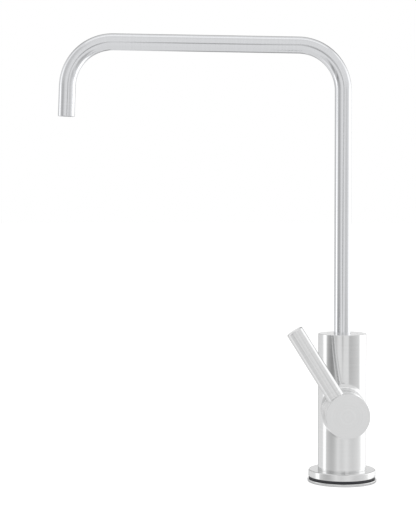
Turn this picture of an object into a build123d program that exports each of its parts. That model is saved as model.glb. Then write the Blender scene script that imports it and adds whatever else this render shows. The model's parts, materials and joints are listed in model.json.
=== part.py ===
from build123d import *

import os
from math import cos, radians, sin, tan

# A long-reach drinking water tap: a bent tube spout that swivels on a round
# body, a quarter-turn ceramic valve in a side boss, a drum knob with a rod
# lever, and below the worktop a threaded shank with a push-fit tube adaptor.
# Millimetres. Z is the tap's axis and zero is the worktop's top face.
# The spout reaches towards -X and the valve's knob faces -Y.

# Clearances and cuts
FIT_CLEARANCE = 0.03
RUNNING_CLEARANCE = 0.05
GUIDE_CLEARANCE = 0.1
CUT_OVERRUN = 1.0

# Hexagons
HEXAGON_SIDES = 6

# Base stack, from the worktop up
PLATE_DIAMETER = 46.0
PLATE_THICKNESS = 1.9
PLATE_EDGE_ROUND = 0.5
SEAL_RING_DIAMETER = 44.0
SEAL_RING_THICKNESS = 1.7
FLANGE_DIAMETER = 44.6
FLANGE_THICKNESS = 4.5
FLANGE_EDGE_CHAMFER = 0.4

# Body
BODY_DIAMETER = 32.0
BODY_LENGTH = 90.7
BODY_EDGE_CHAMFER = 0.5
SPIGOT_DIAMETER = 24.0
BOSS_WALL = 3.2
BOSS_LIP = 0.8
BOSS_EDGE_CHAMFER = 0.3
GALLERY_DIAMETER = 6.0

# Spout
SPOUT_DIAMETER = 11.1
SPOUT_WALL = 1.0
SPOUT_RISE = 190.0
SPOUT_REACH = 181.0
SPOUT_DROP = 49.5
SPOUT_BEND_RADIUS = 30.0
ARM_SLOPE_DEGREES = 1.0
OUTLET_LEAN_DEGREES = 2.2
OUTLET_EDGE_ROUND = 0.25
INSERT_LENGTH = 6.0
INSERT_RECESS = 1.2
INSERT_HOLE_DIAMETER = 2.0
INSERT_HOLE_CIRCLE = 5.6
INSERT_HOLE_COUNT = 6

# Spout joint in the top of the body
RETAINER_LENGTH = 8.2
RETAINER_EDGE_CHAMFER = 0.3
SLIP_RING_THICKNESS = 1.5
TAIL_WALL = 2.95
TAIL_SHOULDER = 1.5
TAIL_LENGTH = 16.0
TAIL_LEDGE = 3.0
TAIL_EDGE_CHAMFER = 0.6
TAIL_SOCKET_RELIEF = 0.8
SPOUT_SEAL_CORD = 1.6
SPOUT_SEAL_SPACING = 6.0

# Valve, measured along its own axis outwards from the tap's axis
VALVE_RISE = 40.9
SEAT_SEAL_THICKNESS = 2.0
INLET_PORT_DEPTH = 8.5
DISC_DIAMETER = 13.0
FIXED_DISC_THICKNESS = 2.5
MOVING_DISC_THICKNESS = 2.5
DISC_PORT_DEGREES = 84.0
DISC_PORT_INNER_DIAMETER = 3.0
DISC_RIM = 1.5
DRIVE_TONGUE_WIDTH = 3.0
DRIVE_TONGUE_DEPTH = 1.0
CARTRIDGE_SEAT_GAP = 0.4
BARREL_WALL = 1.95
BARREL_BACK_WALL = 2.5
WINDOW_WIDTH = 8.0
CARTRIDGE_THREAD_LENGTH = 3.2
CARTRIDGE_FLANGE_WIDTH = 1.5
CARTRIDGE_FLANGE_THICKNESS = 2.0
CARTRIDGE_NECK_WALL = 2.45
CARTRIDGE_NECK_LENGTH = 3.2
CARTRIDGE_SLOT_COUNT = 6
CARTRIDGE_SLOT_WIDTH = 3.0
BONNET_SEAL_CORD = 1.5
SPINDLE_DIAMETER = 8.0
SPINDLE_END_GAP = 1.5
SPINDLE_FOOT_THICKNESS = 3.0
SPINDLE_FOOT_WIDTH = 9.0
SPINDLE_SEAL_CORD = 1.5
CLIP_THICKNESS = 0.8
CLIP_WIDTH = 2.1
CLIP_GROOVE_DEPTH = 0.6
CLIP_MOUTH = 5.0
SPLINE_LEAD = 1.0
SPLINE_TOOTH_COUNT = 20
SPLINE_TOOTH_DEPTH = 0.5

# Knob and lever
KNOB_DIAMETER = 28.8
KNOB_LENGTH = 21.7
KNOB_GAP = 0.7
KNOB_FACE_CHAMFER = 0.35
KNOB_REAR_CHAMFER = 0.3
KNOB_RIM_WALL = 3.9
KNOB_RECESS_CLEARANCE = 1.65
KNOB_FRONT_WALL = 5.0
KNOB_INSERT_WALL = 2.0
LEVER_DIAMETER = 11.2
LEVER_TIP_RADIUS = 64.2
LEVER_SETBACK = 7.5
LEVER_TILT_DEGREES = 32.0
LEVER_POCKET_DEPTH = 1.8
LEVER_TIP_CHAMFER = 0.6
LEVER_FOOT_CHAMFER = 0.4
STUD_DIAMETER = 6.0
STUD_ROD_HOLD = 9.4
STUD_INSERT_GAP = 0.6
STUD_HOLE_RELIEF = 0.6
SET_SCREW_DIAMETER = 5.0
SET_SCREW_PLUG_GAP = 0.8
SET_SCREW_SETBACK = 12.0
SET_SCREW_KEY_SIZE = 2.5
SET_SCREW_KEY_DEPTH = 2.6
PLUG_DIAMETER = 6.4
PLUG_THICKNESS = 1.2
PLUG_RECESS = 1.6

# Shank and the clamp below the worktop
WORKTOP_THICKNESS = 30.0
SHANK_DIAMETER = 11.1
SHANK_PITCH = 1.058
SHANK_THREAD_DEPTH = 0.6
SHANK_THREAD_CREST = 0.15
SHANK_BORE = 6.5
SHANK_ENGAGEMENT = 18.4
SHANK_END_CHAMFER = 0.5
SHANK_SEAL_CORD = 1.6
RUBBER_WASHER_DIAMETER = 32.0
RUBBER_WASHER_THICKNESS = 2.5
STEEL_WASHER_DIAMETER = 30.0
STEEL_WASHER_THICKNESS = 1.5
WASHER_HOLE_CLEARANCE = 0.25
NUT_WIDTH = 17.0
NUT_THICKNESS = 8.0
NUT_CHAMFER_DEGREES = 30.0

# Push-fit tube adaptor on the shank's lower end
INLET_TUBE_DIAMETER = 6.35
ADAPTOR_HEX_WIDTH = 17.0
ADAPTOR_HEX_LENGTH = 12.0
ADAPTOR_HEX_CHAMFER = 0.6
ADAPTOR_THREAD_LENGTH = 10.0
ADAPTOR_NUT_GAP = 4.0
ADAPTOR_WALL = 2.5
ADAPTOR_SEAL_THICKNESS = 1.5
ADAPTOR_WEB = 3.0
ADAPTOR_THROAT = 4.5
TUBE_POCKET_DEPTH = 6.0
CHAMBER_SPARE = 2.5
CAP_THICKNESS = 2.5
COLLET_HEAD_LENGTH = 4.5
COLLET_HEAD_STEP = 0.55
COLLET_HEAD_CHAMFER = 0.4
COLLET_NECK_WALL = 1.15
COLLET_STROKE = 1.5
COLLET_END_GAP = 0.3
COLLET_RIM_WIDTH = 1.9
COLLET_RIM_THICKNESS = 1.8
COLLET_RIM_ROUND = 0.4
COLLET_SLOT_COUNT = 4
COLLET_SLOT_WIDTH = 0.8
GRIP_RING_THICKNESS = 0.5
GRIP_TOOTH_COUNT = 8
GRIP_TOOTH_DEPTH = 0.8
GRIP_TOOTH_WIDTH = 1.2

# Heights of the base stack and body
plate_top = PLATE_THICKNESS
seal_ring_top = plate_top + SEAL_RING_THICKNESS
flange_top = seal_ring_top + FLANGE_THICKNESS
body_top = flange_top + BODY_LENGTH
valve_height = flange_top + VALVE_RISE

# Spout joint, from the body's top down
tail_diameter = SPOUT_DIAMETER + 2 * TAIL_WALL
tail_socket_diameter = tail_diameter + 2 * RUNNING_CLEARANCE
retainer_diameter = tail_diameter + 2 * TAIL_SHOULDER
retainer_bottom = body_top - RETAINER_LENGTH
slip_ring_bottom = retainer_bottom - SLIP_RING_THICKNESS
tail_top = slip_ring_bottom - RUNNING_CLEARANCE
tail_bottom = tail_top - TAIL_LENGTH
tail_socket_floor = tail_bottom - TAIL_SOCKET_RELIEF
tube_bottom = tail_bottom + TAIL_LEDGE

# Diameters round the valve's axis, from the discs and the spindle outwards
disc_port_diameter = DISC_DIAMETER - 2 * DISC_RIM
barrel_bore = DISC_DIAMETER + 2 * RUNNING_CLEARANCE
barrel_diameter = barrel_bore + 2 * BARREL_WALL
cartridge_thread_diameter = barrel_diameter + 2 * BONNET_SEAL_CORD
cartridge_flange_diameter = cartridge_thread_diameter + 2 * CARTRIDGE_FLANGE_WIDTH
boss_diameter = cartridge_flange_diameter + 2 * BOSS_WALL
stem_bore = SPINDLE_DIAMETER + 2 * RUNNING_CLEARANCE
neck_diameter = stem_bore + 2 * CARTRIDGE_NECK_WALL
clip_groove_diameter = SPINDLE_DIAMETER - 2 * CLIP_GROOVE_DEPTH
clip_diameter = clip_groove_diameter + 2 * CLIP_WIDTH
spline_root_diameter = SPINDLE_DIAMETER - 2 * SPLINE_TOOTH_DEPTH
insert_diameter = SPINDLE_DIAMETER + 2 * KNOB_INSERT_WALL
recess_diameter = KNOB_DIAMETER - 2 * KNOB_RIM_WALL

# Stations along the valve's axis, from the seat outwards
fixed_disc_start = SEAT_SEAL_THICKNESS
fixed_disc_end = fixed_disc_start + FIXED_DISC_THICKNESS
moving_disc_start = fixed_disc_end + RUNNING_CLEARANCE
foot_start = moving_disc_start + MOVING_DISC_THICKNESS
stem_start = foot_start + SPINDLE_FOOT_THICKNESS
stem_bore_start = stem_start + RUNNING_CLEARANCE
barrel_end = stem_bore_start + BARREL_BACK_WALL
thread_end = barrel_end + CARTRIDGE_THREAD_LENGTH
cartridge_flange_end = thread_end + CARTRIDGE_FLANGE_THICKNESS
boss_end = cartridge_flange_end + BOSS_LIP
neck_end = cartridge_flange_end + CARTRIDGE_NECK_LENGTH
clip_start = neck_end + RUNNING_CLEARANCE
clip_end = clip_start + CLIP_THICKNESS
recess_floor = clip_end + KNOB_RECESS_CLEARANCE
spline_start = recess_floor - SPLINE_LEAD
knob_rear = boss_end + KNOB_GAP
knob_face = knob_rear + KNOB_LENGTH
insert_end = knob_face - KNOB_FRONT_WALL
spindle_end = insert_end - SPINDLE_END_GAP
lever_station = knob_face - LEVER_SETBACK
set_screw_station = knob_face - SET_SCREW_SETBACK

# Radii from the valve's axis along the lever and its set screw
pocket_floor_radius = KNOB_DIAMETER / 2 - LEVER_POCKET_DEPTH
stud_inner_radius = insert_diameter / 2 + STUD_INSERT_GAP
stud_outer_radius = pocket_floor_radius + STUD_ROD_HOLD
plug_floor_radius = KNOB_DIAMETER / 2 - PLUG_RECESS
set_screw_inner = SPINDLE_DIAMETER / 2 + FIT_CLEARANCE
set_screw_outer = plug_floor_radius - SET_SCREW_PLUG_GAP

# Shank and clamp, from the body's waterway down
shank_top = plate_top + SHANK_ENGAGEMENT
shank_socket_floor = shank_top + SHANK_SEAL_CORD + FIT_CLEARANCE
shank_hole_diameter = SHANK_DIAMETER + 2 * FIT_CLEARANCE
washer_hole_diameter = SHANK_DIAMETER + 2 * WASHER_HOLE_CLEARANCE
rubber_washer_bottom = -WORKTOP_THICKNESS - RUBBER_WASHER_THICKNESS
steel_washer_bottom = rubber_washer_bottom - STEEL_WASHER_THICKNESS
nut_bottom = steel_washer_bottom - NUT_THICKNESS
adaptor_top = nut_bottom - ADAPTOR_NUT_GAP
shank_bottom = adaptor_top - ADAPTOR_THREAD_LENGTH

# Push-fit chamber, from the shank's end down
tube_hole_diameter = INLET_TUBE_DIAMETER + 2 * RUNNING_CLEARANCE
collet_neck_diameter = tube_hole_diameter + 2 * COLLET_NECK_WALL
collet_head_diameter = collet_neck_diameter + 2 * COLLET_HEAD_STEP
collet_rim_diameter = collet_neck_diameter + 2 * COLLET_RIM_WIDTH
chamber_diameter = collet_head_diameter + 2 * GUIDE_CLEARANCE
adaptor_diameter = chamber_diameter + 2 * ADAPTOR_WALL
tube_seal_cord = (chamber_diameter - tube_hole_diameter) / 2 - 2 * FIT_CLEARANCE
adaptor_hex_bottom = adaptor_top - ADAPTOR_HEX_LENGTH
adaptor_socket_floor = shank_bottom - ADAPTOR_SEAL_THICKNESS
tube_stop = adaptor_socket_floor - ADAPTOR_WEB
chamber_top = tube_stop - TUBE_POCKET_DEPTH
tube_seal_bottom = chamber_top - tube_seal_cord - 2 * FIT_CLEARANCE
grip_ring_top = tube_seal_bottom - COLLET_STROKE - CHAMBER_SPARE
collet_top = grip_ring_top - GRIP_RING_THICKNESS
collet_shoulder = collet_top - COLLET_HEAD_LENGTH
adaptor_bottom = collet_shoulder - RUNNING_CLEARANCE
cap_bottom = adaptor_bottom - CAP_THICKNESS
collet_rim_top = cap_bottom - COLLET_STROKE - COLLET_END_GAP
collet_bottom = collet_rim_top - COLLET_RIM_THICKNESS

# The valve's plane has its normal along the valve's axis and its own y upwards.
# The lever's plane has its normal along the rod, at the knob's lever station.
# The spindle's planes are turned with the lever, and the set screw's points the
# other way, so the screw lies on the knob's far side from the rod.
lever_sine = sin(radians(LEVER_TILT_DEGREES))
lever_cosine = cos(radians(LEVER_TILT_DEGREES))
VALVE = Plane(origin=(0, 0, valve_height), x_dir=(1, 0, 0), z_dir=(0, -1, 0))
LEVER = Plane(
    origin=(0, -lever_station, valve_height),
    x_dir=(0, -1, 0),
    z_dir=(-lever_sine, 0, lever_cosine),
)
SPINDLE = Plane(
    origin=(0, 0, valve_height),
    x_dir=(lever_cosine, 0, lever_sine),
    z_dir=(0, -1, 0),
)
SPINDLE_ACROSS = Plane(
    origin=(0, 0, valve_height),
    x_dir=(-lever_sine, 0, lever_cosine),
    z_dir=(0, -1, 0),
)
SET_SCREW = Plane(
    origin=(0, -set_screw_station, valve_height),
    x_dir=(0, -1, 0),
    z_dir=(lever_sine, 0, -lever_cosine),
)

os.makedirs("parts", exist_ok=True)


def turn(plane, start, end, diameter, mode=Mode.ADD):
    """Add or cut one round step between two stations on a plane's normal."""
    with BuildSketch(plane.offset(start)) as face:
        Circle(diameter / 2)
    extrude(face.sketch, amount=end - start, mode=mode)


def bore(plane, start, end, diameter):
    """Cut one round hole between two stations on a plane's normal."""
    turn(plane, start, end, diameter, Mode.SUBTRACT)


def drill(start, end, diameter):
    """Cut a straight waterway of this diameter from one point to another."""
    path = Vector(*end) - Vector(*start)
    bore(Plane(origin=start, z_dir=path), 0, path.length, diameter)


def groove(plane, start, end, floor_diameter, outer_diameter):
    """Cut a square ring groove round the outside of a turned piece."""
    with BuildSketch(plane.offset(start)) as face:
        Circle(outer_diameter / 2 + CUT_OVERRUN)
        Circle(floor_diameter / 2, mode=Mode.SUBTRACT)
    extrude(face.sketch, amount=end - start, mode=Mode.SUBTRACT)


def hexagon(plane, start, end, width):
    """Add a hexagonal bar between two stations on a plane's normal."""
    with BuildSketch(plane.offset(start)) as face:
        RegularPolygon(width / 2, side_count=HEXAGON_SIDES, major_radius=False)
    extrude(face.sketch, amount=end - start)


def star(plane, start, end, root_diameter, tooth_depth, mode=Mode.ADD):
    """Add or cut a bar with a ring of pointed spline teeth."""
    root_radius = root_diameter / 2
    tooth_half_width = root_radius * tan(radians(180 / SPLINE_TOOTH_COUNT))
    with BuildSketch(plane.offset(start)) as face:
        Circle(root_radius)
        with PolarLocations(0, SPLINE_TOOTH_COUNT):
            Polygon(
                (0, -tooth_half_width),
                (root_radius, -tooth_half_width),
                (root_radius + tooth_depth, 0),
                (root_radius, tooth_half_width),
                (0, tooth_half_width),
                align=None,
            )
    extrude(face.sketch, amount=end - start, mode=mode)


def disc_ports(plane, start, end):
    """Cut the two facing sector ports of a ceramic disc."""
    reach = disc_port_diameter
    half_width = reach * tan(radians(DISC_PORT_DEGREES / 2))
    with BuildSketch(plane.offset(start)) as face:
        with PolarLocations(0, 2):
            Polygon((0, 0), (reach, -half_width), (reach, half_width), align=None)
        Circle(disc_port_diameter / 2, mode=Mode.INTERSECT)
        Circle(DISC_PORT_INNER_DIAMETER / 2, mode=Mode.SUBTRACT)
    extrude(face.sketch, amount=end - start, mode=Mode.SUBTRACT)


# Base plate, the thin steel ring that lies on the worktop
with BuildPart() as base_plate:
    turn(Plane.XY, 0, plate_top, PLATE_DIAMETER)
    bore(Plane.XY, -CUT_OVERRUN, plate_top + CUT_OVERRUN, washer_hole_diameter)
    rim = base_plate.edges().filter_by(GeomType.CIRCLE).group_by(SortBy.RADIUS)[-1]
    fillet(rim.sort_by(Axis.Z)[-1], PLATE_EDGE_ROUND)
base_plate.part.label = "base_plate"
export_step(base_plate.part, "parts/base_plate.step")

# Base seal ring, the dark rubber line between the plate and the flange
with BuildPart() as base_seal_ring:
    turn(Plane.XY, plate_top, seal_ring_top, SEAL_RING_DIAMETER)
    bore(Plane.XY, plate_top, seal_ring_top, SPIGOT_DIAMETER + 2 * FIT_CLEARANCE)
base_seal_ring.part.label = "base_seal_ring"
export_step(base_seal_ring.part, "parts/base_seal_ring.step")

# Base flange round the foot of the body
with BuildPart() as base_flange:
    turn(Plane.XY, seal_ring_top, flange_top, FLANGE_DIAMETER)
    bore(Plane.XY, seal_ring_top, flange_top, SPIGOT_DIAMETER + 2 * FIT_CLEARANCE)
    rims = base_flange.edges().filter_by(GeomType.CIRCLE).group_by(SortBy.RADIUS)[-1]
    chamfer(rims, FLANGE_EDGE_CHAMFER)
base_flange.part.label = "base_flange"
export_step(base_flange.part, "parts/base_flange.step")

# Body: column, spigot and valve boss, with the spout socket, the valve
# chamber, the shank socket and the two slanting waterways between them
shank_side = (shank_hole_diameter - GALLERY_DIAMETER) / 4
port_end = INLET_PORT_DEPTH - GALLERY_DIAMETER / 4
inlet_gallery_start = (0, shank_side, shank_socket_floor - CUT_OVERRUN)
inlet_gallery_end = (0, port_end, valve_height)
window_middle = (foot_start + stem_start) / 2
tail_side = (tail_socket_diameter - GALLERY_DIAMETER) / 4
outlet_gallery_start = (0, -window_middle, valve_height + barrel_diameter / 2)
outlet_gallery_end = (0, -tail_side, tail_socket_floor + CUT_OVERRUN)
with BuildPart() as body:
    turn(Plane.XY, flange_top, body_top, BODY_DIAMETER)
    top_rim = body.edges().filter_by(GeomType.CIRCLE).sort_by(Axis.Z)[-1]
    chamfer(top_rim, BODY_EDGE_CHAMFER)
    turn(Plane.XY, plate_top, flange_top, SPIGOT_DIAMETER)
    turn(VALVE, 0, boss_end, boss_diameter)
    boss_rim = body.edges().filter_by(GeomType.CIRCLE).sort_by(Axis.Y)[0]
    chamfer(boss_rim, BOSS_EDGE_CHAMFER)
    bore(Plane.XY, tail_socket_floor, body_top, tail_socket_diameter)
    bore(
        Plane.XY,
        slip_ring_bottom,
        body_top + CUT_OVERRUN,
        retainer_diameter + 2 * FIT_CLEARANCE,
    )
    bore(VALVE, 0, thread_end, cartridge_thread_diameter + 2 * FIT_CLEARANCE)
    bore(
        VALVE,
        thread_end,
        boss_end + CUT_OVERRUN,
        cartridge_flange_diameter + 2 * FIT_CLEARANCE,
    )
    bore(VALVE, -INLET_PORT_DEPTH, CUT_OVERRUN, GALLERY_DIAMETER)
    bore(Plane.XY, plate_top - CUT_OVERRUN, shank_socket_floor, shank_hole_diameter)
    drill(inlet_gallery_start, inlet_gallery_end, GALLERY_DIAMETER)
    drill(outlet_gallery_start, outlet_gallery_end, GALLERY_DIAMETER)
body.part.label = "body"
export_step(body.part, "parts/body.step")

# Spout retainer, a steel ring screwed in flush with the body's top
with BuildPart() as spout_retainer:
    turn(Plane.XY, retainer_bottom, body_top, retainer_diameter)
    bore(Plane.XY, retainer_bottom, body_top, SPOUT_DIAMETER + 2 * RUNNING_CLEARANCE)
    mouth = spout_retainer.edges().filter_by(GeomType.CIRCLE).group_by(Axis.Z)[-1]
    chamfer(mouth.sort_by(SortBy.RADIUS)[0], RETAINER_EDGE_CHAMFER)
spout_retainer.part.label = "spout_retainer"
export_step(spout_retainer.part, "parts/spout_retainer.step")

# Slip ring, the plastic washer that the spout's tail turns against
with BuildPart() as spout_slip_ring:
    turn(Plane.XY, slip_ring_bottom, retainer_bottom, retainer_diameter)
    bore(Plane.XY, slip_ring_bottom, retainer_bottom, SPOUT_DIAMETER + 2 * GUIDE_CLEARANCE)
spout_slip_ring.part.label = "spout_slip_ring"
export_step(spout_slip_ring.part, "parts/spout_slip_ring.step")

# Spout tube: riser, first bend, rising arm, second bend and leaning outlet
arm_rise = SPOUT_REACH * tan(radians(ARM_SLOPE_DEGREES))
first_corner = Vector(0, 0, body_top + SPOUT_RISE)
second_corner = first_corner + Vector(-SPOUT_REACH, 0, arm_rise)
outlet_way = Vector(-sin(radians(OUTLET_LEAN_DEGREES)), 0, -cos(radians(OUTLET_LEAN_DEGREES)))
outlet_end = second_corner + outlet_way * (SPOUT_DROP / cos(radians(OUTLET_LEAN_DEGREES)))
OUTLET = Plane(origin=outlet_end, x_dir=(0, 1, 0), z_dir=outlet_way)
with BuildPart() as spout_tube:
    with BuildLine() as route:
        FilletPolyline(
            (0, 0, tube_bottom),
            first_corner,
            second_corner,
            outlet_end,
            radius=SPOUT_BEND_RADIUS,
        )
    with BuildSketch(Plane.XY.offset(tube_bottom)):
        Circle(SPOUT_DIAMETER / 2)
        Circle(SPOUT_DIAMETER / 2 - SPOUT_WALL, mode=Mode.SUBTRACT)
    sweep()
    outlet_edges = spout_tube.edges().filter_by(GeomType.CIRCLE).sort_by(Axis.X)[:2]
    fillet(outlet_edges, OUTLET_EDGE_ROUND)
spout_tube.part.label = "spout_tube"
export_step(spout_tube.part, "parts/spout_tube.step")

# Outlet insert, the flow straightener set back inside the tube's end
tube_inside_diameter = SPOUT_DIAMETER - 2 * SPOUT_WALL
insert_inner_end = -INSERT_RECESS - INSERT_LENGTH
with BuildPart() as outlet_insert:
    turn(OUTLET, insert_inner_end, -INSERT_RECESS, tube_inside_diameter - 2 * FIT_CLEARANCE)
    with BuildSketch(OUTLET.offset(insert_inner_end)):
        Circle(INSERT_HOLE_DIAMETER / 2)
        with PolarLocations(INSERT_HOLE_CIRCLE / 2, INSERT_HOLE_COUNT):
            Circle(INSERT_HOLE_DIAMETER / 2)
    extrude(amount=INSERT_LENGTH, mode=Mode.SUBTRACT)
outlet_insert.part.label = "outlet_insert"
export_step(outlet_insert.part, "parts/outlet_insert.step")

# Spout tail, the collar brazed on the tube's foot, with two seal grooves
seal_centre = (tail_top + tail_bottom) / 2
spout_seal_heights = [
    seal_centre - SPOUT_SEAL_SPACING / 2,
    seal_centre + SPOUT_SEAL_SPACING / 2,
]
spout_seal_floor = tail_diameter - 2 * SPOUT_SEAL_CORD - 2 * FIT_CLEARANCE
spout_groove_half = SPOUT_SEAL_CORD / 2 + FIT_CLEARANCE
with BuildPart() as spout_tail:
    turn(Plane.XY, tail_bottom, tail_top, tail_diameter)
    rims = spout_tail.edges().filter_by(GeomType.CIRCLE)
    chamfer(rims, TAIL_EDGE_CHAMFER)
    bore(Plane.XY, tail_bottom, tube_bottom, tube_inside_diameter)
    bore(Plane.XY, tube_bottom, tail_top, SPOUT_DIAMETER + 2 * FIT_CLEARANCE)
    for height in spout_seal_heights:
        groove(
            Plane.XY,
            height - spout_groove_half,
            height + spout_groove_half,
            spout_seal_floor,
            tail_diameter,
        )
spout_tail.part.label = "spout_tail"
export_step(spout_tail.part, "parts/spout_tail.step")

# The two round seals in the tail's grooves
spout_seal_circle = (tail_diameter - SPOUT_SEAL_CORD) / 2
with BuildPart(Plane.XY.offset(spout_seal_heights[0])) as spout_seal_lower:
    Torus(spout_seal_circle, SPOUT_SEAL_CORD / 2)
spout_seal_lower.part.label = "spout_seal_lower"
export_step(spout_seal_lower.part, "parts/spout_seal_lower.step")

with BuildPart(Plane.XY.offset(spout_seal_heights[1])) as spout_seal_upper:
    Torus(spout_seal_circle, SPOUT_SEAL_CORD / 2)
spout_seal_upper.part.label = "spout_seal_upper"
export_step(spout_seal_upper.part, "parts/spout_seal_upper.step")

# Seat seal, the rubber bush between the body's inlet port and the fixed disc
with BuildPart() as seat_seal:
    turn(VALVE, 0, SEAT_SEAL_THICKNESS, DISC_DIAMETER)
    bore(VALVE, 0, SEAT_SEAL_THICKNESS, disc_port_diameter)
seat_seal.part.label = "seat_seal"
export_step(seat_seal.part, "parts/seat_seal.step")

# The ceramic discs: the fixed one, and the one that the spindle turns on it
with BuildPart() as fixed_disc:
    turn(VALVE, fixed_disc_start, fixed_disc_end, DISC_DIAMETER)
    disc_ports(VALVE, fixed_disc_start, fixed_disc_end)
fixed_disc.part.label = "fixed_disc"
export_step(fixed_disc.part, "parts/fixed_disc.step")

with BuildPart() as moving_disc:
    turn(SPINDLE, moving_disc_start, foot_start, DISC_DIAMETER)
    disc_ports(SPINDLE_ACROSS, moving_disc_start, foot_start)
    tongue_slot_start = foot_start - DRIVE_TONGUE_DEPTH - FIT_CLEARANCE
    with BuildSketch(SPINDLE.offset(tongue_slot_start)):
        Rectangle(DISC_DIAMETER + CUT_OVERRUN, DRIVE_TONGUE_WIDTH + 2 * FIT_CLEARANCE)
    extrude(amount=DRIVE_TONGUE_DEPTH + CUT_OVERRUN, mode=Mode.SUBTRACT)
moving_disc.part.label = "moving_disc"
export_step(moving_disc.part, "parts/moving_disc.step")

# Spindle: drive tongue, foot with flats that let the water past, seal groove,
# clip groove and splined end
spindle_groove_middle = (stem_bore_start + neck_end) / 2
spindle_seal_floor = SPINDLE_DIAMETER - 2 * SPINDLE_SEAL_CORD - 2 * FIT_CLEARANCE
spindle_groove_half = SPINDLE_SEAL_CORD / 2 + FIT_CLEARANCE
with BuildPart() as cartridge_spindle:
    with BuildSketch(SPINDLE.offset(foot_start)):
        Circle(DISC_DIAMETER / 2)
        Rectangle(DISC_DIAMETER, SPINDLE_FOOT_WIDTH, mode=Mode.INTERSECT)
    extrude(amount=SPINDLE_FOOT_THICKNESS)
    with BuildSketch(SPINDLE.offset(foot_start - DRIVE_TONGUE_DEPTH)):
        Circle(DISC_DIAMETER / 2)
        Rectangle(DISC_DIAMETER, DRIVE_TONGUE_WIDTH, mode=Mode.INTERSECT)
    extrude(amount=DRIVE_TONGUE_DEPTH)
    turn(VALVE, stem_start, spline_start, SPINDLE_DIAMETER)
    star(SPINDLE, spline_start, spindle_end, spline_root_diameter, SPLINE_TOOTH_DEPTH)
    groove(
        VALVE,
        spindle_groove_middle - spindle_groove_half,
        spindle_groove_middle + spindle_groove_half,
        spindle_seal_floor,
        SPINDLE_DIAMETER,
    )
    groove(
        VALVE,
        clip_start - FIT_CLEARANCE,
        clip_end + FIT_CLEARANCE,
        clip_groove_diameter,
        SPINDLE_DIAMETER,
    )
cartridge_spindle.part.label = "cartridge_spindle"
export_step(cartridge_spindle.part, "parts/cartridge_spindle.step")

# Spindle seal in its groove
with BuildPart(VALVE.offset(spindle_groove_middle)) as spindle_seal:
    Torus((SPINDLE_DIAMETER - SPINDLE_SEAL_CORD) / 2, SPINDLE_SEAL_CORD / 2)
spindle_seal.part.label = "spindle_seal"
export_step(spindle_seal.part, "parts/spindle_seal.step")

# Spindle clip, the open spring ring that holds the spindle in the cartridge
with BuildPart() as spindle_clip:
    turn(VALVE, clip_start, clip_end, clip_diameter)
    bore(VALVE, clip_start, clip_end, clip_groove_diameter + 2 * FIT_CLEARANCE)
    with BuildSketch(SPINDLE.offset(clip_start)):
        with Locations((clip_diameter / 2, 0)):
            Rectangle(clip_diameter, CLIP_MOUTH)
    extrude(amount=CLIP_THICKNESS, mode=Mode.SUBTRACT)
spindle_clip.part.label = "spindle_clip"
export_step(spindle_clip.part, "parts/spindle_clip.step")

# Cartridge body: slotted barrel round the discs, thread, flange with key slots
# and the neck that guides the spindle
with BuildPart() as cartridge_body:
    turn(VALVE, CARTRIDGE_SEAT_GAP, barrel_end, barrel_diameter)
    turn(VALVE, barrel_end, thread_end, cartridge_thread_diameter)
    turn(VALVE, thread_end, cartridge_flange_end, cartridge_flange_diameter)
    turn(VALVE, cartridge_flange_end, neck_end, neck_diameter)
    bore(VALVE, CARTRIDGE_SEAT_GAP, stem_bore_start, barrel_bore)
    bore(VALVE, stem_bore_start, neck_end, stem_bore)
    with BuildSketch(VALVE.offset(foot_start)):
        Rectangle(WINDOW_WIDTH, barrel_diameter + CUT_OVERRUN)
    extrude(amount=SPINDLE_FOOT_THICKNESS, mode=Mode.SUBTRACT)
    with BuildSketch(VALVE.offset(thread_end)):
        with PolarLocations(cartridge_flange_diameter / 2, CARTRIDGE_SLOT_COUNT):
            Rectangle(CARTRIDGE_SLOT_WIDTH, CARTRIDGE_SLOT_WIDTH)
    extrude(amount=CARTRIDGE_FLANGE_THICKNESS, mode=Mode.SUBTRACT)
cartridge_body.part.label = "cartridge_body"
export_step(cartridge_body.part, "parts/cartridge_body.step")

# Bonnet seal round the barrel, against the thread's shoulder
bonnet_seal_circle = (barrel_diameter + BONNET_SEAL_CORD + FIT_CLEARANCE) / 2
bonnet_seal_station = barrel_end - BONNET_SEAL_CORD / 2 - FIT_CLEARANCE
with BuildPart(VALVE.offset(bonnet_seal_station)) as bonnet_seal:
    Torus(bonnet_seal_circle, BONNET_SEAL_CORD / 2)
bonnet_seal.part.label = "bonnet_seal"
export_step(bonnet_seal.part, "parts/bonnet_seal.step")

# Knob: a plain drum with a hub bore at the back, a spot face and stud hole for
# the lever, and a set screw hole with its plug's seat opposite the lever
with BuildPart() as knob:
    turn(VALVE, knob_rear, knob_face, KNOB_DIAMETER)
    knob_rims = knob.edges().filter_by(GeomType.CIRCLE).sort_by(Axis.Y)
    chamfer(knob_rims[0], KNOB_FACE_CHAMFER)
    chamfer(knob.edges().filter_by(GeomType.CIRCLE).sort_by(Axis.Y)[-1], KNOB_REAR_CHAMFER)
    bore(VALVE, knob_rear - CUT_OVERRUN, recess_floor, recess_diameter)
    bore(VALVE, recess_floor, insert_end, insert_diameter + 2 * FIT_CLEARANCE)
    bore(LEVER, pocket_floor_radius, KNOB_DIAMETER / 2, LEVER_DIAMETER + 2 * FIT_CLEARANCE)
    bore(LEVER, stud_inner_radius, pocket_floor_radius, STUD_DIAMETER + 2 * FIT_CLEARANCE)
    bore(SET_SCREW, 0, KNOB_DIAMETER / 2, SET_SCREW_DIAMETER + 2 * FIT_CLEARANCE)
    bore(SET_SCREW, plug_floor_radius, KNOB_DIAMETER / 2, PLUG_DIAMETER + 2 * FIT_CLEARANCE)
knob.part.label = "knob"
export_step(knob.part, "parts/knob.step")

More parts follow.
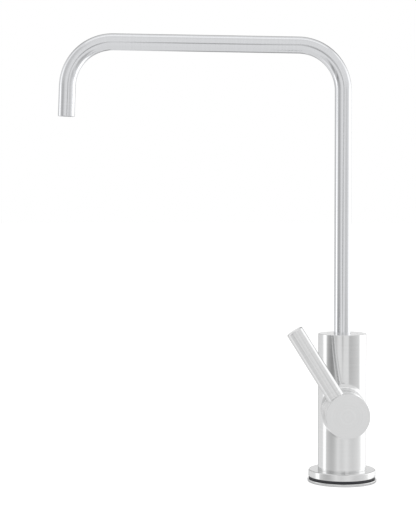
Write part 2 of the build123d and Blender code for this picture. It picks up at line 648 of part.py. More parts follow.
# Knob insert, the splined brass bush pressed into the knob's hub
with BuildPart() as knob_insert:
    turn(VALVE, recess_floor, insert_end, insert_diameter)
    insert_root = spline_root_diameter + 2 * FIT_CLEARANCE
    star(SPINDLE, recess_floor, insert_end, insert_root, SPLINE_TOOTH_DEPTH, Mode.SUBTRACT)
    bore(SET_SCREW, 0, insert_diameter, SET_SCREW_DIAMETER + 2 * FIT_CLEARANCE)
knob_insert.part.label = "knob_insert"
export_step(knob_insert.part, "parts/knob_insert.step")

# Lever rod, seated in the knob's spot face and threaded on the stud
with BuildPart() as lever_rod:
    turn(LEVER, pocket_floor_radius, LEVER_TIP_RADIUS, LEVER_DIAMETER)
    rod_rims = lever_rod.edges().filter_by(GeomType.CIRCLE).sort_by(Axis.Z)
    chamfer(rod_rims[-1], LEVER_TIP_CHAMFER)
    chamfer(lever_rod.edges().filter_by(GeomType.CIRCLE).sort_by(Axis.Z)[0], LEVER_FOOT_CHAMFER)
    bore(
        LEVER,
        pocket_floor_radius,
        stud_outer_radius + STUD_HOLE_RELIEF,
        STUD_DIAMETER + 2 * FIT_CLEARANCE,
    )
lever_rod.part.label = "lever_rod"
export_step(lever_rod.part, "parts/lever_rod.step")

# Lever stud, half in the knob and half in the rod
with BuildPart() as lever_stud:
    turn(LEVER, stud_inner_radius, stud_outer_radius, STUD_DIAMETER)
lever_stud.part.label = "lever_stud"
export_step(lever_stud.part, "parts/lever_stud.step")

# Set screw with its hexagon socket, resting on the spindle's spline
with BuildPart() as set_screw:
    turn(SET_SCREW, set_screw_inner, set_screw_outer, SET_SCREW_DIAMETER)
    with BuildSketch(SET_SCREW.offset(set_screw_outer - SET_SCREW_KEY_DEPTH)):
        RegularPolygon(SET_SCREW_KEY_SIZE / 2, side_count=HEXAGON_SIDES, major_radius=False)
    extrude(amount=SET_SCREW_KEY_DEPTH, mode=Mode.SUBTRACT)
set_screw.part.label = "set_screw"
export_step(set_screw.part, "parts/set_screw.step")

# Set screw plug, the small cap that closes the hole
with BuildPart() as set_screw_plug:
    turn(SET_SCREW, plug_floor_radius, plug_floor_radius + PLUG_THICKNESS, PLUG_DIAMETER)
set_screw_plug.part.label = "set_screw_plug"
export_step(set_screw_plug.part, "parts/set_screw_plug.step")

# Shank: a bored steel tube whose thread is a row of ring grooves one pitch apart
thread_turns = int((shank_top - shank_bottom - 2 * SHANK_END_CHAMFER) / SHANK_PITCH)
thread_half = (SHANK_PITCH - SHANK_THREAD_CREST) / 2
flank = thread_half / SHANK_THREAD_DEPTH
with BuildPart() as threaded_shank:
    turn(Plane.XY, shank_bottom, shank_top, SHANK_DIAMETER)
    chamfer(threaded_shank.edges().filter_by(GeomType.CIRCLE), SHANK_END_CHAMFER)
    with BuildSketch(Plane.XZ) as thread_grooves:
        first_turn = shank_bottom + SHANK_END_CHAMFER + SHANK_PITCH / 2
        centres = [
            (SHANK_DIAMETER / 2, first_turn + turn_index * SHANK_PITCH)
            for turn_index in range(thread_turns)
        ]
        with Locations(*centres):
            Polygon(
                (-SHANK_THREAD_DEPTH, 0),
                (FIT_CLEARANCE, -thread_half - FIT_CLEARANCE * flank),
                (FIT_CLEARANCE, thread_half + FIT_CLEARANCE * flank),
                align=None,
            )
    revolve(thread_grooves.sketch, axis=Axis.Z, mode=Mode.SUBTRACT)
    bore(Plane.XY, shank_bottom, shank_top, SHANK_BORE)
threaded_shank.part.label = "threaded_shank"
export_step(threaded_shank.part, "parts/threaded_shank.step")

# Shank seal between the shank's top and the body's waterway
shank_seal_circle = (SHANK_BORE + SHANK_DIAMETER - 2 * SHANK_END_CHAMFER) / 4
with BuildPart(Plane.XY.offset(shank_top + SHANK_SEAL_CORD / 2)) as shank_seal:
    Torus(shank_seal_circle, SHANK_SEAL_CORD / 2)
shank_seal.part.label = "shank_seal"
export_step(shank_seal.part, "parts/shank_seal.step")

# Rubber washer against the worktop's underside
with BuildPart() as worktop_rubber_washer:
    turn(Plane.XY, rubber_washer_bottom, -WORKTOP_THICKNESS, RUBBER_WASHER_DIAMETER)
    bore(Plane.XY, rubber_washer_bottom, -WORKTOP_THICKNESS, washer_hole_diameter)
worktop_rubber_washer.part.label = "worktop_rubber_washer"
export_step(worktop_rubber_washer.part, "parts/worktop_rubber_washer.step")

# Steel washer under the rubber one
with BuildPart() as worktop_steel_washer:
    turn(Plane.XY, steel_washer_bottom, rubber_washer_bottom, STEEL_WASHER_DIAMETER)
    bore(Plane.XY, steel_washer_bottom, rubber_washer_bottom, washer_hole_diameter)
worktop_steel_washer.part.label = "worktop_steel_washer"
export_step(worktop_steel_washer.part, "parts/worktop_steel_washer.step")

# Lock nut: a hexagon turned to a cone at each end
nut_corner_radius = NUT_WIDTH / 2 / cos(radians(180 / HEXAGON_SIDES))
nut_cone_height = (nut_corner_radius - NUT_WIDTH / 2) * tan(radians(NUT_CHAMFER_DEGREES))
with BuildPart() as lock_nut:
    hexagon(Plane.XY, nut_bottom, steel_washer_bottom, NUT_WIDTH)
    with BuildSketch(Plane.XZ):
        Polygon(
            (0, nut_bottom),
            (NUT_WIDTH / 2, nut_bottom),
            (nut_corner_radius, nut_bottom + nut_cone_height),
            (nut_corner_radius, steel_washer_bottom - nut_cone_height),
            (NUT_WIDTH / 2, steel_washer_bottom),
            (0, steel_washer_bottom),
            align=None,
        )
    revolve(axis=Axis.Z, mode=Mode.INTERSECT)
    bore(Plane.XY, nut_bottom, steel_washer_bottom, shank_hole_diameter)
lock_nut.part.label = "lock_nut"
export_step(lock_nut.part, "parts/lock_nut.step")

# Tap adaptor: hexagon socket on the shank, then the round push-fit chamber
with BuildPart() as tap_adaptor:
    hexagon(Plane.XY, adaptor_hex_bottom, adaptor_top, ADAPTOR_HEX_WIDTH)
    chamfer(tap_adaptor.faces().sort_by(Axis.Z)[-1].edges(), ADAPTOR_HEX_CHAMFER)
    chamfer(tap_adaptor.faces().sort_by(Axis.Z)[0].edges(), ADAPTOR_HEX_CHAMFER)
    turn(Plane.XY, adaptor_bottom, adaptor_hex_bottom, adaptor_diameter)
    bore(Plane.XY, adaptor_socket_floor, adaptor_top, shank_hole_diameter)
    bore(Plane.XY, tube_stop, adaptor_socket_floor, ADAPTOR_THROAT)
    bore(Plane.XY, chamber_top, tube_stop, tube_hole_diameter)
    bore(Plane.XY, adaptor_bottom, chamber_top, chamber_diameter)
tap_adaptor.part.label = "tap_adaptor"
export_step(tap_adaptor.part, "parts/tap_adaptor.step")

# Adaptor seal, the flat washer at the shank's lower end
with BuildPart() as adaptor_seal:
    turn(Plane.XY, adaptor_socket_floor, shank_bottom, SHANK_DIAMETER)
    bore(Plane.XY, adaptor_socket_floor, shank_bottom, SHANK_BORE)
adaptor_seal.part.label = "adaptor_seal"
export_step(adaptor_seal.part, "parts/adaptor_seal.step")

# Tube seal at the top of the push-fit chamber
tube_seal_circle = (chamber_diameter + tube_hole_diameter) / 4
with BuildPart(Plane.XY.offset(chamber_top - tube_seal_cord / 2 - FIT_CLEARANCE)) as tube_seal:
    Torus(tube_seal_circle, tube_seal_cord / 2)
tube_seal.part.label = "tube_seal"
export_step(tube_seal.part, "parts/tube_seal.step")

# Adaptor cap, the ring welded on to keep the collet in
with BuildPart() as adaptor_cap:
    turn(Plane.XY, cap_bottom, adaptor_bottom, adaptor_diameter)
    cap_rims = adaptor_cap.edges().filter_by(GeomType.CIRCLE).sort_by(Axis.Z)
    chamfer(cap_rims[0], ADAPTOR_HEX_CHAMFER)
    bore(Plane.XY, cap_bottom, adaptor_bottom, collet_neck_diameter + 2 * GUIDE_CLEARANCE)
adaptor_cap.part.label = "adaptor_cap"
export_step(adaptor_cap.part, "parts/adaptor_cap.step")

# Collet: slotted head behind the cap, neck through it and the rim to press
with BuildPart() as collet:
    turn(Plane.XY, collet_shoulder, collet_top, collet_head_diameter)
    chamfer(collet.edges().filter_by(GeomType.CIRCLE).sort_by(Axis.Z)[-1], COLLET_HEAD_CHAMFER)
    turn(Plane.XY, collet_rim_top, collet_shoulder, collet_neck_diameter)
    turn(Plane.XY, collet_bottom, collet_rim_top, collet_rim_diameter)
    rim_edges = collet.edges().filter_by(GeomType.CIRCLE).group_by(SortBy.RADIUS)[-1]
    fillet(rim_edges, COLLET_RIM_ROUND)
    bore(Plane.XY, collet_bottom, collet_top, tube_hole_diameter)
    with BuildSketch(Plane.XY.offset(cap_bottom)):
        with PolarLocations(0, COLLET_SLOT_COUNT // 2, angular_range=180):
            Rectangle(chamber_diameter, COLLET_SLOT_WIDTH)
    extrude(amount=collet_top - cap_bottom, mode=Mode.SUBTRACT)
collet.part.label = "collet"
export_step(collet.part, "parts/collet.step")

# Grip ring, the toothed steel ring on the collet's head
with BuildPart() as grip_ring:
    turn(Plane.XY, collet_top, grip_ring_top, collet_head_diameter - 2 * COLLET_HEAD_CHAMFER)
    bore(Plane.XY, collet_top, grip_ring_top, tube_hole_diameter + 2 * GRIP_TOOTH_DEPTH)
    with BuildSketch(Plane.XY.offset(collet_top)):
        with PolarLocations(0, GRIP_TOOTH_COUNT):
            with BuildLine():
                tooth_inner = tube_hole_diameter / 2 + FIT_CLEARANCE
                tooth_outer = tooth_inner + GRIP_TOOTH_DEPTH + FIT_CLEARANCE
                Polyline(
                    (tooth_inner, 0),
                    (tooth_outer, GRIP_TOOTH_WIDTH / 2),
                    (tooth_outer, -GRIP_TOOTH_WIDTH / 2),
                    close=True,
                )
            make_face()
    extrude(amount=GRIP_RING_THICKNESS)
grip_ring.part.label = "grip_ring"
export_step(grip_ring.part, "parts/grip_ring.step")
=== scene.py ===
import json
from contextlib import contextmanager
from math import cos, pi, radians, sin, sqrt, tan

import bmesh
import bpy
from bpy.props import FloatProperty, FloatVectorProperty, IntProperty, PointerProperty
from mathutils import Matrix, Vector


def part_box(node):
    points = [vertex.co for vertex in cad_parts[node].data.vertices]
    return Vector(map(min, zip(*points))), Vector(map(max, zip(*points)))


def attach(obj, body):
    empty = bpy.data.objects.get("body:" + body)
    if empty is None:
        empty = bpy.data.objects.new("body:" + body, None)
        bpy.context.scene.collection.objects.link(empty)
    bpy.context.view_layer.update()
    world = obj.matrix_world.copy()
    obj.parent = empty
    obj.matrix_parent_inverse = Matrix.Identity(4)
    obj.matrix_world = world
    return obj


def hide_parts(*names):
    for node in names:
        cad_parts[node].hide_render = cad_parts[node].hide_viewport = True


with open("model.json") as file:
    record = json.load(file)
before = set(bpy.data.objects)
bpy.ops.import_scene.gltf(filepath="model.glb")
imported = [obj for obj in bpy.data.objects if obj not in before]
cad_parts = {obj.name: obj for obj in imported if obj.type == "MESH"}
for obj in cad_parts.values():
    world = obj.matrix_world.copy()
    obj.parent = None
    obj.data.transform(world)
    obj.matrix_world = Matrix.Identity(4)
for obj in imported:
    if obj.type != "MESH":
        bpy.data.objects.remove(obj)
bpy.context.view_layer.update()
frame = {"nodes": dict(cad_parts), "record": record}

bl_info = {
    "name": "Drinking Water Tap",
    "version": (1, 0, 0),
    "blender": (4, 5, 0),
    "location": "View3D > Sidebar > Tap",
    "description": "Finished pieces, materials and a plain stage for a drinking water filter tap",
    "category": "Add Mesh",
}

SLOT_OF = {row["node"]: row["material_slot"] for row in frame["record"]["subparts"]}
BODY_OF = {
    node: body
    for body, members in frame["record"]["behaviour"]["bodies"].items()
    for node in members
}
FINISH_OF = {
    "brushed_stainless": "Plain Steel",
    "plain_stainless": "Plain Steel",
    "brass": "Machined Brass",
    "black_rubber": "Black Rubber",
    "white_acetal": "White Acetal",
    "alumina": "Lapped Alumina",
    "grey_plug": "Grey Moulded Cap",
}

ORIGIN = (0.0, 0.0, 0.0)
UP = (0.0, 0.0, 1.0)
OUT = (0.0, -1.0, 0.0)

# Gaps between the finished pieces, and sizes of their smaller cuts, in metres
SEAT_GAP = 0.00003
TURNING_GAP = 0.00005
SHANK_GAP = 0.00025
SPIGOT_RADIUS = 0.012
SEAT_RADIUS = 0.01
BARREL_RADIUS = 0.0115
BARREL_START = 0.0158
CHAMBER_FLOOR = -0.00001
TAIL_ROOM = 0.0008
BLEND_SINK = 0.0006
PAST_FACE = 0.001
PAST_RIM = 0.002
KNOB_RIM_WALL = 0.0039
PLUG_DEPTH = 0.0016
LEVER_DRILL_END = 0.0226
BODY_CHAMFER = 0.0002
BOSS_CHAMFER = 0.0003
FLANGE_CHAMFER = 0.0004
RETAINER_CHAMFER = 0.0003
KNOB_REAR_CHAMFER = 0.0003
KNOB_FACE_CHAMFER = 0.00035
LEVER_FOOT_CHAMFER = 0.0004
LEVER_TIP_CHAMFER = 0.0006
OUTLET_EASE = 0.00025
KNOB_EASE = 0.0002
LEVER_EASE = 0.00025
# How steep the thread's flanks are, where one would leave no flat at the root
VALLEY_STEEPNESS = 1.25

# Facets round the smaller turned shapes, and the angles over which edges stay sharp
LEVER_SIDES = 96
POCKET_SIDES = 64
SCREW_HOLE_SIDES = 48
FLOOR_SIDES = 96
SHARP_ANGLE = radians(31)
THREAD_SHARP_ANGLE = radians(40)
RIM_ANGLE = radians(60)


def cad_size(node, axis):
    """The node's extent along one axis at rest."""
    low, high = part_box(node)
    return high[axis] - low[axis]


def cad_middle(node, axis):
    """The middle of the node's extent along one axis at rest."""
    low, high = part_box(node)
    return (low[axis] + high[axis]) / 2


# Sizes and finishes


def length(label, words, default):
    """A length property."""
    return FloatProperty(
        name=label, description=words, default=default, unit="LENGTH", precision=5
    )


def angle(label, words, default):
    """An angle property."""
    return FloatProperty(name=label, description=words, default=default, subtype="ANGLE")


def share(label, words, default):
    """A property between nothing and one."""
    return FloatProperty(name=label, description=words, default=default, min=0.0, max=1.0)


def colour(label, words, default):
    """A colour property."""
    return FloatVectorProperty(
        name=label, description=words, default=default, size=3, min=0.0, max=1.0, subtype="COLOR"
    )


def power(label, words, default):
    """A lamp's power property."""
    return FloatProperty(name=label, description=words, default=default, unit="POWER")


class TapSizes(bpy.types.PropertyGroup):
    """Sizes of the finished pieces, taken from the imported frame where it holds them"""

    turned_sides: IntProperty(
        name="Turned Sides", description="Facets round each turned piece", default=144, min=24
    )
    edge_round: length("Edge Round", "Radius that eases the body's corners", 0.00018)
    body_diameter: length("Body Diameter", "Round body of the tap", cad_size("body", 0))
    boss_diameter: length("Boss Diameter", "Side boss that holds the valve", 0.0294)
    boss_blend: length("Boss Blend", "Radius that blends the side boss into the body", 0.004)
    tube_diameter: length("Spout Diameter", "Outside of the spout tube", 0.0111)
    tube_wall: length("Spout Wall", "Wall of the spout tube", 0.001)
    bend_radius: length("Bend Radius", "Middle line of both spout bends", 0.03)
    spout_reach: length("Spout Reach", "Between the corners of the spout's middle line", 0.181)
    arm_height: length("Arm Height", "Corner over the body, above the worktop", 0.2888)
    arm_slope: angle("Arm Slope", "Rise of the spout's arm", radians(1.0))
    outlet_drop: length("Outlet Drop", "From the far corner down to the outlet", 0.0495)
    outlet_lean: angle("Outlet Lean", "Outward lean of the outlet", radians(2.2))
    lever_tilt: angle("Lever Tilt", "Lever's angle from upright at rest", radians(32.0))
    lever_diameter: length("Lever Diameter", "Lever rod", 0.0112)
    lever_foot: length("Lever Foot Radius", "Rod's foot, from the knob's axis", 0.0126)
    lever_tip: length("Lever Tip Radius", "Rod's tip, from the knob's axis", 0.0642)
    thread_diameter: length("Thread Diameter", "Shank over its thread", 0.0111)
    thread_pitch: length("Thread Pitch", "Rise of the shank's thread in one turn", 0.001058)
    thread_depth: length("Thread Depth", "Depth of the shank's thread", 0.0006)
    shank_bore: length("Shank Bore", "Waterway through the shank", 0.0065)


class TapFinishes(bpy.types.PropertyGroup):
    """Colours and surface values of the tap's materials"""

    satin_steel: colour("Satin Steel", "Brushed stainless steel that shows", (0.797, 0.80, 0.802))
    spout_steel: colour("Spout Steel", "Brushed tube of the spout", (0.79, 0.798, 0.816))
    plain_steel: colour("Plain Steel", "Steel as turned or pressed", (0.70, 0.70, 0.69))
    brass: colour("Brass", "Machined brass", (0.78, 0.60, 0.33))
    rubber: colour("Rubber", "Black moulded rubber", (0.030, 0.030, 0.035))
    acetal: colour("Acetal", "Natural white moulded plastic", (0.80, 0.80, 0.77))
    alumina: colour("Alumina", "Lapped ceramic", (0.86, 0.85, 0.81))
    grey_cap: colour("Grey Cap", "Moulded cover of the set screw", (0.48, 0.48, 0.48))
    satin_roughness: share("Satin Roughness", "Roughness of the brushed steel", 0.115)
    satin_stretch: share("Satin Stretch", "How far brushing stretches reflections", 0.3)
    line_spacing: length("Line Spacing", "Between the brushed lines", 0.00016)


class TapStage(bpy.types.PropertyGroup):
    """Floor, light and camera"""

    floor_colour: colour("Floor Colour", "Pale floor", (0.80, 0.80, 0.80))
    ambient: share("Ambient", "Light of the white room on matt surfaces", 0.55)
    key_power: power("Key Power", "Large soft lamp on the left", 17.0)
    fill_power: power("Fill Power", "Large soft lamp on the right", 9.0)
    camera_place: FloatVectorProperty(
        name="Camera Place", description="Camera in the tap's frame", subtype="TRANSLATION",
        default=(-0.0893, -0.9506, 0.18532), size=3, unit="LENGTH",
    )
    camera_pitch: angle("Camera Pitch", "How far the camera looks down", 0.0408)
    camera_lens: FloatProperty(
        name="Camera Lens", description="Focal length over a 36 mm tall picture", default=98.72,
        min=1.0,
    )


# Mesh helpers


def new_piece(name, mesh):
    """An object at the origin that holds the mesh."""
    piece = bpy.data.objects.new(name, mesh)
    bpy.context.scene.collection.objects.link(piece)
    return piece


@contextmanager
def editing(mesh):
    """The mesh's points and faces, written back to it when the block ends."""
    shell = bmesh.new()
    shell.from_mesh(mesh)
    yield shell
    shell.to_mesh(mesh)
    shell.free()


def evaluated_mesh(piece):
    """The piece's mesh with its modifiers worked in."""
    bpy.context.view_layer.update()
    depsgraph = bpy.context.evaluated_depsgraph_get()
    return bpy.data.meshes.new_from_object(
        piece.evaluated_get(depsgraph), preserve_all_data_layers=True, depsgraph=depsgraph
    )


def settle(piece):
    """Works the piece's modifiers into its mesh and removes them."""
    mesh = evaluated_mesh(piece)
    piece.modifiers.clear()
    piece.data = mesh
    mesh.name = piece.name


def face_outwards(mesh):
    """Turns a closed mesh round if it encloses a negative volume."""
    with editing(mesh) as shell:
        if shell.calc_volume(signed=True) < 0:
            bmesh.ops.reverse_faces(shell, faces=shell.faces)


def smooth_with_sharp_edges(piece, sharp_angle):
    """Smooth shading, sharp over the given angle, with flat faces kept flat."""
    with editing(piece.data) as shell:
        for face in shell.faces:
            face.smooth = True
        for edge in shell.edges:
            edge.smooth = edge.is_manifold and edge.calc_face_angle(0.0) < sharp_angle
    weighted = piece.modifiers.new("Weighted Normals", "WEIGHTED_NORMAL")
    weighted.mode = "FACE_AREA"
    weighted.keep_sharp = True
    settle(piece)


def eased(points, radius, closed=False, steps=3):
    """The outline's points with each corner rounded by about the radius."""
    count = len(points)
    result = []
    for index, point in enumerate(points):
        here = Vector(point)
        if not closed and index in (0, count - 1):
            result.append(here)
            continue
        before = Vector(points[index - 1]) - here
        after = Vector(points[(index + 1) % count]) - here
        reach = min(radius, before.length * 0.4, after.length * 0.4)
        start = here + before.normalized() * reach
        end = here + after.normalized() * reach
        for step in range(steps + 1):
            along = step / steps
            result.append(start.lerp(here, along).lerp(here.lerp(end, along), along))
    return result


def stepped(start, *steps):
    """An outline in steps, from a start station by (radius, end station) pairs."""
    outline = [(0.0, start)]
    for radius, end in steps:
        outline += [(radius, outline[-1][1]), (radius, end)]
    return outline + [(0.0, outline[-1][1])]


def skin(name, rings, along):
    """A mesh over rings of points, where a ring of one point is a pole.

    The UV map runs round the rings in u and takes v from along. One more value there than rings
    joins the last ring to the first.
    """
    sides = max(len(ring) for ring in rings)
    mesh = bpy.data.meshes.new(name)
    with editing(mesh) as shell:
        uv = shell.loops.layers.uv.new("UVMap")
        rows = []
        for ring in rings:
            verts = [shell.verts.new(point) for point in ring]
            rows.append(verts * (sides // len(verts)))
        rows += rows[: len(along) - len(rings)]
        for row in range(len(rows) - 1):
            for side in range(sides):
                corners = {}
                around = ((row, side), (row, side + 1), (row + 1, side + 1), (row + 1, side))
                for step, column in around:
                    vert = rows[step][column % sides]
                    corners.setdefault(vert, (column / sides, along[step]))
                if len(corners) < 3:
                    continue
                face = shell.faces.new(list(corners))
                for loop, place_on_map in zip(face.loops, corners.values()):
                    loop[uv].uv = place_on_map
    return mesh


def turned_mesh(name, outline, centre, axis, sides, closed=False):
    """The outline's (radius, station) points spun round the axis through the centre.

    An open outline starts and ends on the axis or leaves a hole; a closed one makes a ring.
    """
    axis = Vector(axis).normalized()
    side = axis.orthogonal().normalized()
    other = axis.cross(side)
    turns = [2 * pi * index / sides for index in range(sides)]
    along = [0.0]
    for first, second in zip(outline, outline[1:] + outline[: int(closed)]):
        along.append(along[-1] + (Vector(second) - Vector(first)).length)
    rings = []
    for radius, station in outline:
        middle = Vector(centre) + axis * station
        if radius == 0:
            rings.append([middle])
            continue
        rings.append([middle + (side * cos(turn) + other * sin(turn)) * radius for turn in turns])
    return skin(name, rings, along)


def lathe(name, outline, centre, axis, sides, closed=False):
    """A turned piece that faces outwards."""
    mesh = turned_mesh(name, outline, centre, axis, sides, closed)
    face_outwards(mesh)
    return new_piece(name, mesh)


def combine(piece, cutter, operation):
    """Joins the cutter to the piece, or takes it out of the piece, and removes the cutter."""
    modifier = piece.modifiers.new(operation.title(), "BOOLEAN")
    modifier.operation = operation
    modifier.solver = "EXACT"
    modifier.object = cutter
    settle(piece)
    bpy.data.objects.remove(cutter)


def set_finish(piece, finish):
    """Gives the piece one material on all its faces."""
    material = bpy.data.materials.get(finish)
    if material is None:
        raise RuntimeError("make the finishes before the pieces: " + finish)
    piece.data.materials.clear()
    piece.data.materials.append(material)
    for face in piece.data.polygons:
        face.material_index = 0


def place(piece, node, finish="Satin Steel Turned", sharp_angle=SHARP_ANGLE):
    """Smooths a finished piece, gives it its finish, hangs it on its moving body and hides the CAD
    node it stands in for.
    """
    smooth_with_sharp_edges(piece, sharp_angle)
    set_finish(piece, finish)
    body, slot = BODY_OF[node], SLOT_OF[node]
    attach(piece, body)
    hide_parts(node)


# Node helpers


class Tree:
    """A node tree with short ways to add and link nodes."""

    def __init__(self, tree):
        self.tree = tree

    def add(self, kind, sockets=None, **settings):
        """A node. Each socket gets a value, or a link where another node's output is given."""
        node = self.tree.nodes.new(kind)
        for name, value in settings.items():
            setattr(node, name, value)
        for name, value in (sockets or {}).items():
            if isinstance(value, bpy.types.NodeSocket):
                self.tree.links.new(value, node.inputs[name])
            else:
                node.inputs[name].default_value = value
        return node

    def math(self, operation, *values):
        """The result of a math node."""
        return self.add("ShaderNodeMath", dict(enumerate(values)), operation=operation).outputs[0]

    def total(self, *parts, base=0.0):
        """The sum of a base and (source, factor) parts."""
        result = None
        for source, factor in parts:
            part = source if factor == 1 else self.math("MULTIPLY", source, factor)
            result = part if result is None else self.math("ADD", result, part)
        return self.math("ADD", result, base) if base else result

    def noise(self, place_of, scale, detail, roughness=0.5, distortion=0.0):
        """Noise over a vector, or along a single value."""
        flat = place_of.type == "VALUE"
        sockets = {
            "W" if flat else "Vector": place_of,
            "Scale": scale,
            "Detail": detail,
            "Roughness": roughness,
            "Distortion": distortion,
        }
        dimensions = "1D" if flat else "3D"
        return self.add("ShaderNodeTexNoise", sockets, noise_dimensions=dimensions).outputs["Fac"]

    def carry(self, value, start, end, low=0.0, high=1.0, **settings):
        """The value carried from the range of start and end to that of low and high."""
        sockets = {"Value": value, "From Min": start, "From Max": end}
        sockets |= {"To Min": low, "To Max": high}
        return self.add("ShaderNodeMapRange", sockets, **settings).outputs["Result"]

    def mix(self, factor, first, second):
        """A colour between two colours."""
        sockets = {0: factor, 6: first, 7: second}
        return self.add("ShaderNodeMix", sockets, data_type="RGBA").outputs[2]

    def group(self, name, sockets):
        """The outputs of a node that uses one of the shared groups."""
        return self.add("ShaderNodeGroup", sockets, node_tree=bpy.data.node_groups[name]).outputs

    def split(self, vector):
        """The vector's parts."""
        return self.add("ShaderNodeSeparateXYZ", {"Vector": vector}).outputs

    def vector(self, **parts):
        """A vector made of its parts."""
        return self.add("ShaderNodeCombineXYZ", parts).outputs["Vector"]


def group_tree(name, kind, inputs, outputs):
    """A node group with (name, socket kind, default) inputs, as its tree and its input sockets."""
    tree = bpy.data.node_groups.new(name, kind)
    for label, socket, default in inputs:
        made = tree.interface.new_socket(label, in_out="INPUT", socket_type="NodeSocket" + socket)
        if default is not None:
            made.default_value = default
    for label, socket in outputs:
        tree.interface.new_socket(label, in_out="OUTPUT", socket_type="NodeSocket" + socket)
    t = Tree(tree)
    return t, t.add("NodeGroupInput").outputs


# Shader node groups


def brushed_lines_group():
    """Fine lines across one coordinate, uneven from place to place."""
    t, inputs = group_tree(
        "Brushed Lines",
        "ShaderNodeTree",
        [("Across", "Float", None), ("Place", "Vector", None), ("Spacing", "Float", 0.00016)],
        [("Height", "Float"), ("Tone", "Float"), ("Polish", "Float")],
    )
    line = t.math("DIVIDE", inputs["Across"], inputs["Spacing"])
    fine = t.noise(line, 1.0, 3.0, 0.6)
    broad = t.noise(line, 0.11, 2.0)
    patches = t.noise(inputs["Place"], 85.0, 3.0, 0.55)
    uneven = t.total((patches, 0.9), base=0.55)
    height = t.total((fine, 0.65), (broad, 0.35))
    outputs = {
        "Height": t.math("MULTIPLY", height, uneven),
        "Tone": t.total((broad, 0.6), (fine, 0.4)),
        "Polish": t.total((patches, 0.6), (broad, 0.4)),
    }
    t.add("NodeGroupOutput", outputs)


def handling_group():
    """Faint wipe marks and short hairline scratches from use."""
    t, inputs = group_tree(
        "Handling Marks",
        "ShaderNodeTree",
        [("Place", "Vector", None), ("Amount", "Float", 1.0)],
        [("Marks", "Float"), ("Scratches", "Float")],
    )
    wiped = t.carry(t.noise(inputs["Place"], 34.0, 5.0, 0.62, 0.6), 0.48, 0.72)
    turned = t.add(
        "ShaderNodeMapping",
        {"Vector": inputs["Place"], "Rotation": (0.5, 0.3, 0.9), "Scale": (900.0, 60.0, 240.0)},
    )
    thin = t.carry(t.noise(turned.outputs["Vector"], 1.0, 1.0), 0.74, 0.80)
    outputs = {
        "Marks": t.math("MULTIPLY", wiped, inputs["Amount"]),
        "Scratches": t.math("MULTIPLY", thin, inputs["Amount"]),
    }
    t.add("NodeGroupOutput", outputs)


def moulded_skin_group():
    """The fine spark texture, flow shade and dust of a moulded piece."""
    t, inputs = group_tree(
        "Moulded Skin",
        "ShaderNodeTree",
        [("Place", "Vector", None), ("Grain Size", "Float", 0.0003), ("Dust", "Float", 0.5)],
        [("Height", "Float"), ("Tone", "Float"), ("Dust", "Float")],
    )
    place_of = inputs["Place"]
    grain = t.noise(place_of, t.math("DIVIDE", 1.0, inputs["Grain Size"]), 4.0, 0.6)
    flow = t.noise(place_of, 60.0, 3.0, distortion=0.8)
    sockets = {"Vector": place_of, "Scale": 650.0, "Randomness": 1.0}
    specks = t.add("ShaderNodeTexVoronoi", sockets, feature="F1")
    dots = t.carry(specks.outputs["Distance"], 0.13, 0.05)
    outputs = {
        "Height": grain,
        "Tone": t.total((flow, 0.7), (grain, 0.3)),
        "Dust": t.math("MULTIPLY", t.math("MULTIPLY", dots, flow), inputs["Dust"]),
    }
    t.add("NodeGroupOutput", outputs)


# Materials


def new_material(name):
    """An empty material, its tree and its texture coordinates."""
    material = bpy.data.materials.new(name)
    material.use_nodes = True
    material.node_tree.nodes.clear()
    t = Tree(material.node_tree)
    return material, t, t.add("ShaderNodeTexCoord").outputs


def shaded(base, level):
    """A colour made lighter or darker."""
    return (*(min(channel * level, 1.0) for channel in base), 1.0)


def uneven(t, roughness, pattern, swing, *marks):
    """A roughness that swings about its value with a pattern and rises in (mask, rise) marks."""
    return t.total((pattern, swing), *marks, base=roughness - swing / 2)


def principled(t, depth, relief, sockets):
    """The material's shader, with a bump of some depth in metres."""
    bump = t.add("ShaderNodeBump", {"Strength": 1.0, "Distance": depth, "Height": relief})
    shader = t.add("ShaderNodeBsdfPrincipled", {**sockets, "Normal": bump.outputs["Normal"]})
    t.add("ShaderNodeOutputMaterial", {"Surface": shader.outputs["BSDF"]})


def metal_material(name, base, roughness, spacing, direction, depth, shades, stretch=0.0):
    """A brushed, turned or drawn metal.

    The direction is "map" for lines across the UV map's v, or the letter of the axis they cross.
    """
    _, t, coordinates = new_material(name)
    place_of = coordinates["Object"]
    mapped = direction == "map"
    across = t.split(coordinates["UV"])["Y"] if mapped else t.split(place_of)[direction]
    lines = t.group("Brushed Lines", {"Spacing": spacing, "Across": across, "Place": place_of})
    marks = t.group("Handling Marks", {"Amount": 1.0, "Place": place_of})
    worn = [(marks["Marks"], 0.035), (marks["Scratches"], 0.06)]
    sockets = {
        "Base Color": t.mix(lines["Tone"], *(shaded(base, level) for level in shades)),
        "Metallic": 1.0,
        "Roughness": uneven(t, roughness, lines["Polish"], 0.06, *worn),
        "Anisotropic": stretch,
    }
    if mapped:
        tangent = t.add("ShaderNodeTangent", direction_type="UV_MAP", uv_map="UVMap")
        sockets |= {"Anisotropic Rotation": 0.25, "Tangent": tangent.outputs["Tangent"]}
    principled(t, depth, t.total((lines["Height"], 1.0), (marks["Scratches"], -0.5)), sockets)


